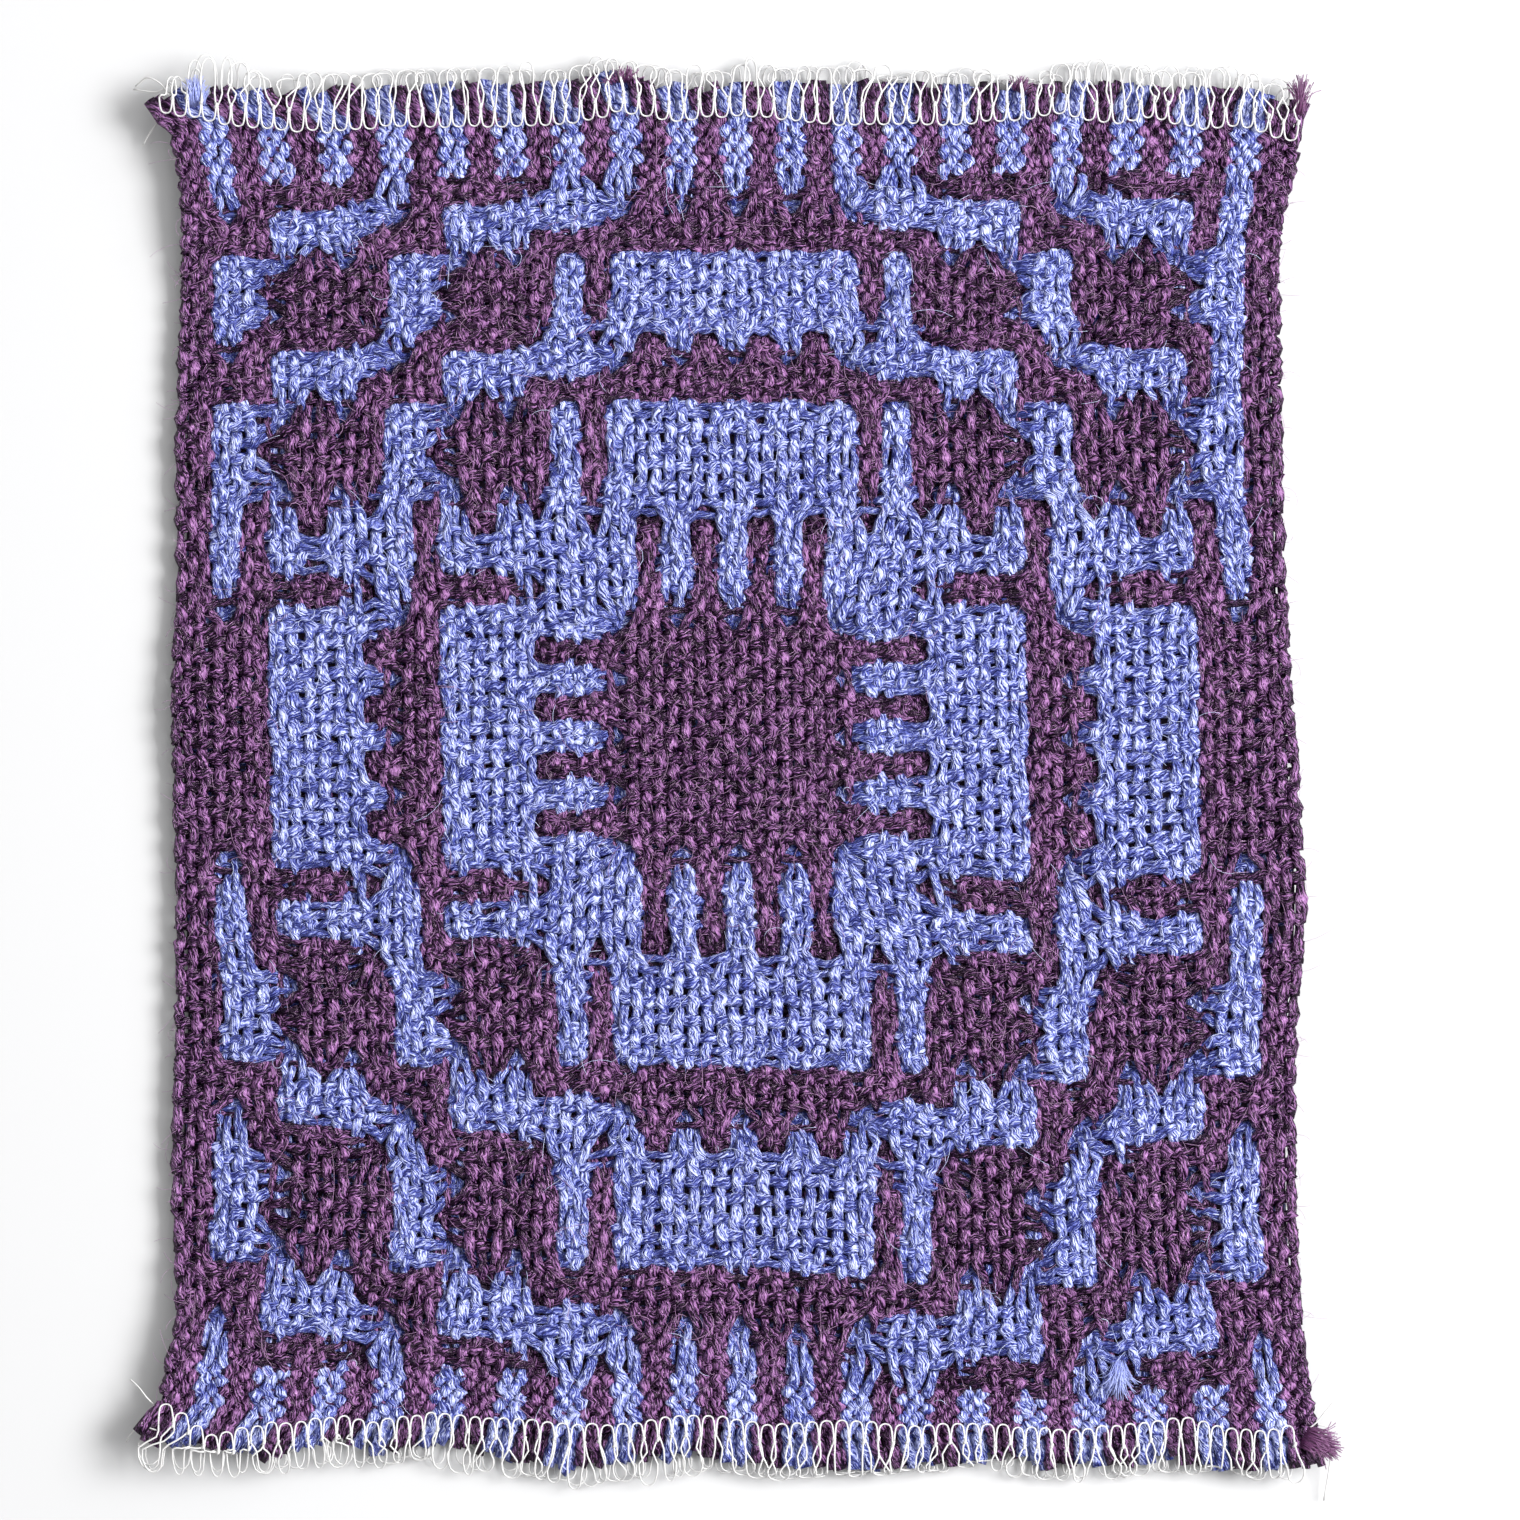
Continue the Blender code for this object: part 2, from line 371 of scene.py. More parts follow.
def spread_along(own, neighbour, beyond):
    """0 where a block's yarns crowd on this side, 1 where they spread under or over the neighbour."""
    same = (own == neighbour).astype(float)
    places, values = [], []
    for i in range(len(own)):
        places.append(BLOCKS[i])
        values.append(same[i])
        if i + 1 < len(own):
            places.append(BLOCKS[i] + 0.5)
            values.append(min(same[i], same[i + 1]) if own[i] == own[i + 1] else 0.0)
    if beyond is not None:
        places = [-END_BLOCK - PAST_PATTERN] + places + [END_BLOCK + PAST_PATTERN]
        values = [beyond] + values + [beyond]
    return blurred(np.interp(ALONG, places, values), SPREAD_SOFT * SAMPLES)


FIELD_STEP = 0.125
FIELD = np.arange(-REACH, REACH + FIELD_STEP / 2, FIELD_STEP)
CORNER_SOFT = 0.46         # how far corners and finger tips draw in, in blocks
EDGE_SHARP = 2.7           # how steeply the layers change places at a border


def face_field():
    """+1 where the blue layer is on the face, -1 where the plum one is, soft at the borders."""
    nearest = np.clip(np.rint(FIELD), -END_BLOCK, END_BLOCK).astype(int) + END_BLOCK
    field = 2.0 * FACE[np.ix_(nearest, nearest)] - 1.0
    for _ in range(2):
        field = np.array([blurred(line, CORNER_SOFT / FIELD_STEP) for line in field]).T
    return np.clip(field * EDGE_SHARP, -1.0, 1.0)


FACE_FIELD = face_field()


def face_at(u, v):
    """Reads the face field at a place in blocks."""
    last = len(FIELD) - 1.001
    across = np.clip((u + REACH) / FIELD_STEP, 0.0, last)
    return between(FACE_FIELD, across, np.clip((v + REACH) / FIELD_STEP, 0.0, last))


def read_table(table, yarn, along):
    """Reads the tables of several yarns at places along them."""
    place = np.clip((along + REACH) * SAMPLES - 0.5, 0.0, table.shape[1] - 1.001)
    low = place.astype(int)
    part = place - low
    return table[yarn, low] * (1.0 - part) + table[yarn, low + 1] * part


class Yarns:
    """All yarns of one direction: where each runs, how crowded it is and in which layer."""

    def __init__(self, faces, beyond):
        blocks, offsets, spreads = [], [], []
        nothing = np.full(len(ALONG), SELVEDGE_SPREAD)
        for i, block in enumerate(BLOCKS):
            own = faces[i]
            before = spread_along(own, faces[i - 1], beyond) if i > 0 else nothing
            after = spread_along(own, faces[i + 1], beyond) if i + 1 < len(BLOCKS) else nothing
            for k in range(BLOCK_ENDS):
                share = (k - (BLOCK_ENDS - 1) / 2.0) / 2.0
                side = before if share < 0 else after
                stray = wander(len(ALONG), STRAY_LENGTH * SAMPLES, STRAY)
                blocks.append(block)
                offsets.append(share * (0.5 + 0.5 * side) + stray)
                spreads.append(side)
        self.block = np.array(blocks)
        self.blue = self.block % 2 == 0
        self.offsets = np.array(offsets)
        self.spreads = np.array(spreads)

    def place(self, yarn, along):
        """Where a yarn lies across the cloth, in blocks."""
        return self.block[yarn] + read_table(self.offsets, yarn, along)

    def spread(self, yarn, along):
        """1 where a yarn has room to lie flat, 0 where it is crowded."""
        return np.clip(read_table(self.spreads, yarn, along), 0.0, 1.0)

    def layer(self, yarn, u, v):
        """Height of the yarn's layer over the cloth's middle, before the weave's own wave."""
        woven = ease((END_BLOCK + PATTERN_END - np.abs(v)) / LAYERS_MEET)
        side = np.where(self.blue[yarn], 1.0, -1.0)
        return side * LAYER_OFFSET * face_at(u, v) * woven


WARP = Yarns(np.rint(FACE).T, 0.0)
WEFT = Yarns(np.rint(FACE), None)
ENDS = np.arange(len(WARP.block))
PICKS = np.arange(len(WEFT.block))


def crossings():
    """Where each end meets each pick, in blocks."""
    end, pick = np.meshgrid(ENDS, PICKS, indexing="ij")
    u, v = WARP.block[end].astype(float), WEFT.block[pick].astype(float)
    for _ in range(5):
        u = WARP.place(end, v)
        v = WEFT.place(pick, u)
    return u, v


CROSS_U, CROSS_V = crossings()

# Plum picks of the plain headings, which bind every end, past the last pattern row at both ends
HEADING_PICKS = 6
HEADING_PITCH = 0.33       # in blocks
HEADING_PLUMP = 1.16       # ends swell to full beads between the heading's fine picks
HEADING_FINE = 0.85        # those picks against the pattern's
HEADING_LOW = -0.28        # and their height over the cloth's middle, in mm
HEADING_ROWS = END_BLOCK + 0.5 + HEADING_PITCH * (np.arange(HEADING_PICKS) + 0.4)
HEADING = np.concatenate([-HEADING_ROWS[::-1], HEADING_ROWS])
HEADING_STRAY = 0.03       # how far they wander, in blocks
HEADING_STRAY_LENGTH = 1.3
HEADING_WANDER = np.array([
    wander(len(ALONG), HEADING_STRAY_LENGTH * SAMPLES, HEADING_STRAY) for _ in HEADING
])


def heading_place(pick, u):
    """Where a heading's pick runs, in blocks."""
    return HEADING[pick] + read_table(HEADING_WANDER, pick, u)


def cloth_middle(x, y):
    """Height halfway through the cloth over the surface."""
    return underside(x, y) + CLOTH_THICK / 2.0


# Tubes of yarn and thread, many to a mesh


def unit(vectors):
    """Vectors made one long."""
    return vectors / np.maximum(np.linalg.norm(vectors, axis=-1, keepdims=True), 1e-9)


def level_frame(path):
    """A sideways and an upward direction at each point of a yarn that lies in the cloth."""
    along = unit(np.gradient(path, axis=0))
    flat = along * (1.0, 1.0, 0.0)
    side = unit(np.cross(flat, (0.0, 0.0, 1.0)))
    return side, np.cross(side, along)


def free_frame(path):
    """Two directions across a thread at each point, turned as little as the thread allows."""
    along = unit(np.gradient(path, axis=0))
    start = (0.0, 0.0, 1.0) if abs(along[0][2]) < 0.9 else (1.0, 0.0, 0.0)
    side = unit(np.cross(along[0], start))
    sides = [side]
    for direction in along[1:]:
        side = unit(side - direction * np.dot(side, direction))
        sides.append(side)
    sides = np.array(sides)
    return sides, np.cross(sides, along)


class Strands:
    """Gathers tubes, and makes one mesh of them all."""

    def __init__(self, sides):
        self.sides = sides
        first = 0.25 if sides % 2 else 0.0      # an odd tube has a corner on top, an even one a flat
        turn = (np.arange(sides) / sides + first) * 2.0 * math.pi
        self.cos, self.sin = np.cos(turn), np.sin(turn)
        self.points, self.tones, self.corners, self.sizes, self.uvs = [], [], [], [], []
        self.count = 0

    def add(self, path, wide, thick=None, tone=0.5, level=False):
        """Adds a tube along path, in mm, with its width and thickness at each point."""
        path = np.asarray(path, float)
        n, s = len(path), self.sides
        wide = np.broadcast_to(np.asarray(wide, float), (n,))
        thick = wide if thick is None else np.broadcast_to(np.asarray(thick, float), (n,))
        side, up = level_frame(path) if level else free_frame(path)
        ring = (
            path[:, None, :]
            + side[:, None, :] * (self.cos[None, :, None] * wide[:, None, None] / 2.0)
            + up[:, None, :] * (self.sin[None, :, None] * thick[:, None, None] / 2.0)
        )
        self.points.append(ring.reshape(-1, 3))
        self.tones.append(np.repeat(np.broadcast_to(np.asarray(tone, float), (n,)), s))
        step = np.linalg.norm(np.diff(path, axis=0), axis=1)
        length = np.concatenate([[0.0], np.cumsum(step)]) + rng.uniform(0.0, 50.0)

        row, col = np.meshgrid(np.arange(n - 1), np.arange(s), indexing="ij")
        after = (col + 1) % s
        base = self.count
        quads = np.stack([row * s + col, (row + 1) * s + col, (row + 1) * s + after, row * s + after], -1)
        self.corners.append(base + quads.reshape(-1))
        self.sizes.append(np.full((n - 1) * s, 4))
        near, far = length[row], length[row + 1]
        left, right = col / s, (col + 1) / s
        places = np.stack([near, left, far, left, far, right, near, right], -1)
        self.uvs.append(places.reshape(-1, 2))

        start = base + np.arange(s)
        end = base + (n - 1) * s + np.arange(s)[::-1]
        self.corners.append(np.concatenate([start, end]))
        self.sizes.append(np.array([s, s]))
        caps = np.zeros((2 * s, 2))
        caps[:s, 0], caps[s:, 0] = length[0], length[-1]
        self.uvs.append(caps)
        self.count += n * s

    def make(self, name, material):
        """The mesh of all tubes, as a piece of the scene."""
        points = np.concatenate(self.points) * MM
        corners = np.concatenate(self.corners).astype(np.int32)
        sizes = np.concatenate(self.sizes).astype(np.int32)
        starts = np.concatenate([[0], np.cumsum(sizes)[:-1]]).astype(np.int32)
        mesh = bpy.data.meshes.new(name)
        mesh.vertices.add(len(points))
        mesh.vertices.foreach_set("co", points.astype(np.float32).reshape(-1))
        mesh.loops.add(len(corners))
        mesh.loops.foreach_set("vertex_index", corners)
        mesh.polygons.add(len(sizes))
        mesh.polygons.foreach_set("loop_start", starts)
        mesh.polygons.foreach_set("use_smooth", np.ones(len(sizes), bool))
        mesh.update(calc_edges=True)
        layer = mesh.uv_layers.new(name="yarn")
        layer.data.foreach_set("uv", np.concatenate(self.uvs).astype(np.float32).reshape(-1))
        tone = mesh.attributes.new("tone", "FLOAT", "POINT")
        tone.data.foreach_set("value", np.concatenate(self.tones).astype(np.float32))
        mesh.validate()
        mesh.materials.append(material)
        piece = bpy.data.objects.new(name, mesh)
        bpy.context.scene.collection.objects.link(piece)
        return piece


# The woven yarns

# Where the rings lie between two crossings, by whether the yarn is on the outside at each
OUTER_TO_INNER = (0.3,)
INNER_TO_OUTER = (0.7,)
OUTER_TO_OUTER = (0.3, 0.7)
INNER_TO_INNER = (0.5,)
NEAR_CREST = 0.5           # how much of a bead's swelling its neighbouring rings share
INNER_CREST = -0.6         # a yarn shrinks by this share of the swelling where it is covered
LONG_GAP = 0.62            # blocks between crossings from which a yarn passes the other layer
LONG_STEP = 0.34           # blocks between its rings there
INSIDE = -0.05             # height below which a yarn's layer is the one at the back


def ring_places(nodes, waves, outer):
    """Places along a yarn for its rings, and the height of its wave there."""
    places, heights, crest = [], [], []
    for a in range(len(nodes) - 1):
        gap = nodes[a + 1] - nodes[a]
        if abs(gap) > LONG_GAP:
            count = int(abs(gap) / LONG_STEP)
            shares = tuple((k + 1.0) / (count + 1.0) for k in range(count))
        elif outer[a]:
            shares = OUTER_TO_OUTER if outer[a + 1] else OUTER_TO_INNER
        else:
            shares = INNER_TO_OUTER if outer[a + 1] else INNER_TO_INNER
        places.append(nodes[a])
        heights.append(waves[a])
        crest.append(1.0 if outer[a] else INNER_CREST)
        for share in shares:
            turn = (1.0 - math.cos(math.pi * share)) / 2.0
            places.append(nodes[a] + gap * share)
            heights.append(waves[a] + (waves[a + 1] - waves[a]) * turn)
            nearest = a if share < 0.5 else a + 1
            crest.append(NEAR_CREST if outer[nearest] and abs(gap) <= LONG_GAP else 0.0)
    places.append(nodes[-1])
    heights.append(waves[-1])
    crest.append(0.0)
    return np.array(places), np.array(heights), np.array(crest)


def yarn_section(spread, crest, free_width, blue):
    """Width and thickness of a yarn: flat where it has room, rounder where yarns crowd."""
    count = len(spread)
    full = 1.0 if blue else PLUM_SLIM
    wide = CROWDED_WIDTH + (free_width - CROWDED_WIDTH) * spread
    thick = YARN_AREA / wide
    plump = 1.0 + (CROWDED_BULGE + (BULGE - CROWDED_BULGE) * spread) * crest
    loose = 1.0 + rng.normal(0.0, UNEVEN_WIDTH, count)
    return wide * plump * loose * full, thick * loose * full


def on_surface(x, y, z, thick):
    """Lifts a yarn that would dip below the surface that the cloth lies on."""
    return np.maximum(z, underside(x, y) + thick / 2.0 + SURFACE_GAP)


TAIL = 0.5                 # blocks from the last heading pick to where the cut end lies free
CUT_END = 22.45            # where an end is cut, in blocks from the middle row
UNEVEN_CUT = 0.12
END_DIP = (-0.2, 0.1)      # the wave at the cut, and at the tail
LEAN_MOST = 1.2            # how much of the lean an end can take, as a share
STITCHED_FROM = 0.2        # blocks past the heading where the stitching holds the ends

# The ends lie in two layers there, every other one on top: their section and height, in mm
STITCHED = {
    True: {"wide": 1.45, "thick": 0.85, "rise": 0.18},
    False: {"wide": 1.0, "thick": 0.7, "rise": -0.25},
}


def warp_strand(end):
    """One end's path with its section, from the bottom cut end to the top one."""
    blue = WARP.blue[end]
    same = PICKS[WEFT.blue == blue]
    order = np.cumsum(WARP.blue == blue)[end] - 1
    woven = CROSS_V[end, same]
    up = np.where((order + np.arange(len(same))) % 2 == 0, 1.0, -1.0)
    heading_up = np.where((end + np.arange(len(HEADING))) % 2 == 0, 1.0, -1.0)
    near = np.array([heading_place(k, np.array(WARP.block[end], float)) for k in range(len(HEADING))])
    half = len(HEADING) // 2
    tail = HEADING_ROWS[-1] + TAIL
    cut = CUT_END + rng.normal(0.0, UNEVEN_CUT, 2)
    nodes = np.concatenate([[-cut[0], -tail], near[:half], woven, near[half:], [tail, cut[1]]])
    waves = np.concatenate([END_DIP, heading_up[:half], up, heading_up[half:], END_DIP[::-1]])
    yarn = np.full(len(nodes), end)
    side = WARP.layer(yarn, WARP.place(yarn, nodes), nodes)
    outer = waves * np.where(side < INSIDE, -1.0, 1.0) > 0
    v, wave, crest = ring_places(nodes, waves * WARP_WAVE, outer)
    yarn = np.full(len(v), end)
    u = WARP.place(yarn, v)
    x, y = cloth_place(u, v)
    past = np.clip(np.abs(v) - HEADING_ROWS[-1], 0.0, LEAN_MOST)
    top_lean, bottom_lean = (table_value(END_LEAN, "x", end_name, x) for end_name in ("top", "bottom"))
    x = x + past * np.where(v > 0, top_lean, bottom_lean)
    layer = WARP.layer(yarn, WARP.place(yarn, v), v)
    z = cloth_middle(x, y) + layer + wave + rng.normal(0.0, UNEVEN_RISE, len(v))
    x = x + rng.normal(0.0, UNEVEN_SIDE, len(v))
    wide, thick = yarn_section(WARP.spread(yarn, v), crest, END_WIDTH, blue)
    in_heading = np.abs(v) > HEADING_ROWS[0] - HEADING_PITCH / 2.0
    wide = wide * np.where(in_heading, HEADING_PLUMP, 1.0)
    stitched = past > STITCHED_FROM
    held = STITCHED[bool(end % 2 == 0)]
    wide = np.where(stitched, held["wide"], wide)
    thick = np.where(stitched, held["thick"], thick)
    z = z + np.where(stitched, held["rise"], 0.0)
    z = on_surface(x, y, z, thick)
    return np.stack([x, y, z], -1), wide, thick, crest


WARP_TONE = 0.68           # mean tone of the ends, and of the picks below them, which are painted darker as painted shade
WEFT_TONE = 0.30
SHADE = 0.34               # painted shade and highlight: how much a yarn is painted darker where it dips and lighter on its beads
TONE_STEP = 0.08           # how much one yarn's tone differs from the next one's
TONE_WANDER = 0.12         # and how much it changes along the yarn, every few rings
TONE_RINGS = 3.0


def tone_and_painted_shade(mean, crest):
    """How light a yarn is, from ring to ring: its own tone, which differs at random, with painted
    highlight where it shows as a bead and painted shade where it dips.
    """
    own = mean + rng.uniform(-TONE_STEP, TONE_STEP)
    # SHADE times crest is painted highlight and painted shade; the rest is the yarn's own uneven tone
    return own + SHADE * crest + wander(len(crest), TONE_RINGS, TONE_WANDER)


# Where picks turn at the selvedges, in blocks from the middle column
HEADING_TURN = 19.55
BLUE_TURN = 19.2
PLUM_TURN = 19.5


def pick_strand(pick, heading):
    """One pick's path with its section, from the left selvedge to the right one."""
    if heading:
        u_nodes = WARP.place(ENDS, np.full(len(ENDS), HEADING[pick]))
        waves = np.where((ENDS + pick) % 2 == 0, -1.0, 1.0)
        edge = HEADING_TURN
        side = np.zeros(len(u_nodes) + 2)
    else:
        blue = WEFT.blue[pick]
        same = ENDS[WARP.blue == blue]
        order = np.cumsum(WEFT.blue == blue)[pick] - 1
        u_nodes = CROSS_U[same, pick]
        waves = np.where((order + np.arange(len(same))) % 2 == 0, -1.0, 1.0)
        edge = BLUE_TURN if blue else PLUM_TURN
        places = np.concatenate([[-edge], u_nodes, [edge]])
        yarn = np.full(len(places), pick)
        side = WEFT.layer(yarn, places, WEFT.place(yarn, places))
    nodes = np.concatenate([[-edge], u_nodes, [edge]])
    waves = np.concatenate([[0.0], waves, [0.0]])
    outer = waves * np.where(side < INSIDE, -1.0, 1.0) > 0
    u, wave, crest = ring_places(nodes, waves * WEFT_WAVE, outer)
    yarn = np.full(len(u), pick)
    if heading:
        v = heading_place(yarn, u)
        spread, layer = np.zeros(len(u)), np.full(len(u), HEADING_LOW)
    else:
        v = WEFT.place(yarn, u)
        spread, layer = WEFT.spread(yarn, u), WEFT.layer(yarn, u, v)
    x, y = cloth_place(u, v)
    z = cloth_middle(x, y) + layer + wave + rng.normal(0.0, UNEVEN_RISE, len(u))
    y = y + rng.normal(0.0, UNEVEN_SIDE, len(u))
    wide, thick = yarn_section(spread, crest, PICK_WIDTH, not heading and blue)
    if heading:
        wide, thick = wide * HEADING_FINE, thick * HEADING_FINE
    z = on_surface(x, y, z, thick)
    return np.stack([x, y, z], -1), wide, thick, crest


# The weft's turn round the selvedge: its section in mm, its tone, and how far it stands out
TURN = {"wide": 0.85, "thick": 0.75, "tone": 0.5}
TURN_SHARES = (0.2, 0.5, 0.8)
BLUE_TURN_OUT = 0.15
PLUM_TURN_OUT = 0.28
PLUM_TURN_UNEVEN = (-0.12, 0.2)


def turn_points(last, first, out):
    """The weft's turn round the selvedge, from one pick to the next."""
    sign = math.copysign(1.0, last[0])
    points = [last + (first - last) * share for share in TURN_SHARES]
    for point, share in zip(points, TURN_SHARES):
        point[0] += sign * out * math.sin(math.pi * share)
    return np.array(points)


def make_warp(name, blue, material):
    """All ends of one colour."""
    strands = Strands(BLUE_SIDES if blue else PLUM_SIDES)
    for end in ENDS[WARP.blue == blue]:
        path, wide, thick, crest = warp_strand(end)
        strands.add(path, wide, thick, tone=tone_and_painted_shade(WARP_TONE, crest), level=True)
    return strands.make(name, material)


def make_weft(name, blue, material):
    """All picks of one colour, as one yarn that turns at both selvedges."""
    half = len(HEADING) // 2
    picks = [(pick, False) for pick in PICKS[WEFT.blue == blue]]
    if not blue:
        picks = [(k, True) for k in range(half)] + picks + [(k, True) for k in range(half, 2 * half)]
    paths, wides, thicks, tones = [], [], [], []
    for number, (pick, heading) in enumerate(picks):
        path, wide, thick, crest = pick_strand(pick, heading)
        tone = tone_and_painted_shade(WEFT_TONE, crest)
        if number % 2:
            path, wide, thick, tone = path[::-1], wide[::-1], thick[::-1], tone[::-1]
        if paths:
            out = BLUE_TURN_OUT if blue else PLUM_TURN_OUT + rng.uniform(*PLUM_TURN_UNEVEN)
            paths.append(turn_points(paths[-1][-1], path[0], out))
            wides.append(np.full(len(TURN_SHARES), TURN["wide"]))
            thicks.append(np.full(len(TURN_SHARES), TURN["thick"]))
            tones.append(np.full(len(TURN_SHARES), TURN["tone"]))
        paths.append(path)
        wides.append(wide)
        thicks.append(thick)
        tones.append(tone)
    strands = Strands(BLUE_SIDES if blue else PLUM_SIDES)
    strands.add(
        np.concatenate(paths),
        np.concatenate(wides),
        np.concatenate(thicks),
        tone=np.concatenate(tones),
        level=True,
    )
    return strands.make(name, material)


# The overlock stitching along both cut ends

STITCH_PITCH = 1.62
STITCH_UNEVEN = 0.07       # share of the pitch by which it varies
STITCH_FROM = -63.4        # x where the stitching starts, and where it stops
STITCH_TO = 62.6
THREAD = 0.21              # thickness of the thread
PULLED = 0.85              # thickness of a loop's tip, as a share of the thread's
BAR_GAP = 0.13             # from the middle of a bar to each of its two threads
FOOT_GAP = 0.07            # the same at the knots
FOOT_ROUND = 0.72          # how wide the round foot stays near the needle line
KNOT_UP = 2.0              # from the needle line to the small knots on the bars
KNOT_UNEVEN = 0.3
COVER = 2.62               # height of the threads over the underside, on the cloth and below it
BELOW = 0.1
LOOP_OUT = 0.55            # how far a loop stands out past the cut end
LOOP_UNEVEN = 0.45
LOOP_LEAN = 0.55           # how far loops lean over to either side
CORNER_LEAN = 2.2          # and how much further to the left in the bottom left corner
CORNER_FROM = -54.0        # x where that begins, and over how many mm
CORNER_OVER = 6.0
LOOP_WAIST = (0.25, 1.15)  # half a loop's width at its waist and near its tip, against half the pitch
LOOP_REACH = (0.7, 1.5)
NEEDLE_UNEVEN = 0.08
STITCH_STEPS = 2           # parts of a stitch's path between two of its points
TIP_PARTS = slice(18, 23)  # parts of the path at the loop's tip
KNOT_PART = 12             # and at the knot on the right leg

# A small knot: places across, along and above its leg, and its width at each
KNOT = [(-0.16, -0.30, -0.06), (0.05, -0.12, 0.14), (0.12, 0.12, 0.14), (-0.08, 0.30, -0.04)]
KNOT_WIDE = [0.26, 0.40, 0.40, 0.26]

# y of the needle line along both ends
NEEDLE_TOP = short_table("x y", [
    (-63.1, 73.3), (-56.5, 72.0), (-46.4, 71.4), (-39.2, 72.1), (-26.5, 72.0),
    (-18.0, 72.4), (-13.0, 73.8), (-7.0, 72.7), (0.4, 73.4), (10.5, 72.3), (25.5, 72.3),
    (36.2, 73.5), (42.0, 72.4), (46.3, 73.1), (52.0, 71.9), (56.4, 72.2), (61.6, 70.5),
])
NEEDLE_BOTTOM = short_table("x y", [
    (-63.5, -70.1), (-61.0, -71.4), (-59.1, -73.6), (-51.9, -72.5), (-44.1, -71.8),
    (-40.5, -72.3), (-33.8, -71.5), (-19.8, -72.6), (-10.8, -72.7), (-8.6, -71.9),
    (-3.0, -71.7), (3.8, -72.7), (11.6, -72.2), (19.7, -72.9), (24.4, -72.5), (37.0, -73.3),
    (45.2, -72.6), (50.1, -71.9), (53.4, -72.8), (58.4, -73.3), (63.1, -72.5),
])

# Where the loops over the cut edge stand out further (+) or lie back on the cloth (-), in mm
LOOSE_TOP = short_table("x more", [
    (-61.0, 0.6), (-59.0, 2.0), (-55.5, 1.6), (-53.0, 0.2), (-20.0, 0.2), (-11.0, 0.5),
    (-2.0, 0.0), (2.0, 1.2), (6.0, 0.2), (15.0, 0.4), (17.0, -1.0), (20.0, 0.0),
    (28.5, 0.0), (30.5, -1.6), (33.5, -1.4), (35.0, 0.8), (61.0, 0.5),
])
LOOSE_BOTTOM = short_table("x more", [
    (-62.0, 1.6), (-55.0, 1.8), (-50.0, 0.2), (-42.0, 1.8), (-37.0, -0.6), (-33.0, 1.0),
    (-27.0, 0.6), (-5.0, 0.6), (0.0, 0.0), (28.0, -0.8), (31.0, 0.4), (51.0, 0.0),
    (54.0, -1.8), (57.0, -0.2), (62.0, 0.3),
])


def smooth_path(points, steps):
    """A smooth curve through points, with steps parts between each two of them."""
    points = np.asarray(points, float)
    before = np.vstack([2 * points[0] - points[1], points[:-1]])
    after = np.vstack([points[1:], 2 * points[-1] - points[-2]])
    slopes = (after - before) / 2.0
    shares = np.arange(steps) / steps
    rows = []
    for a in range(len(points) - 1):
        for s in shares:
            h0 = 2 * s**3 - 3 * s**2 + 1
            h1 = s**3 - 2 * s**2 + s
            h2 = -2 * s**3 + 3 * s**2
            h3 = s**3 - s**2
            rows.append(h0 * points[a] + h1 * slopes[a] + h2 * points[a + 1] + h3 * slopes[a + 1])
    rows.append(points[-1])
    return np.array(rows)


def cut_edge(x, top):
    """y of the cut end at a place across the cloth."""
    if top:
        return MEAN_END + table_value(TOP_END, "x", "out", x)
    return -MEAN_END - table_value(BOTTOM_END, "x", "out", x)


def ring_path(x, half, top, over, out, lean, waist, reach):
    """One stitch: a round foot on the needle line, two legs, and a loop over the cut edge."""
    way = 1.0 if top else -1.0
    needle = table_value(NEEDLE_TOP if top else NEEDLE_BOTTOM, "x", "y", x)
    length = abs(cut_edge(x, top) - needle)
    leg = half - BAR_GAP
    needle += rng.normal(0.0, NEEDLE_UNEVEN)
    knot = KNOT_UP + rng.uniform(-KNOT_UNEVEN, KNOT_UNEVEN)
    height = COVER if over else BELOW
    inner = -0.4 if over else 0.45          # the foot dips into the cloth
    middle = 0.05 if over else -0.02
    side_drop, tip_drop = (0.8, 1.1) if over else (-0.5, -0.7)
    # Across, up from the needle line, and height: round the foot, up the right leg and down the left one
    rows = [
        (-half + FOOT_GAP, knot, 0.0),
        (-leg, 0.9, 0.0),
        (-FOOT_ROUND * leg, 0.2, inner * 0.5),
        (0.0, 0.0, inner),
        (FOOT_ROUND * leg, 0.2, inner * 0.5),
        (leg, 0.9, 0.0),
        (half - FOOT_GAP, knot, 0.0),
        (waist + 0.4 * lean, 0.5 * (knot + length), middle),
        (reach + lean, length - 0.1, -side_drop * 0.25),
        (0.75 * reach + lean, length + 0.75 * out, -side_drop),
        (lean, length + out, -tip_drop),
        (-0.75 * reach + lean, length + 0.75 * out, -side_drop),
        (-reach + lean, length - 0.1, -side_drop * 0.25),
        (-waist + 0.4 * lean, 0.5 * (knot + length), middle),
        (-half + FOOT_GAP, knot, 0.0),
    ]
    points = []
    for across, up, z in rows:
        px, py = x + across, needle + way * up
        points.append((px, py, float(underside(np.array(px), np.array(py))) + height + z))
    return smooth_path(points, STITCH_STEPS)


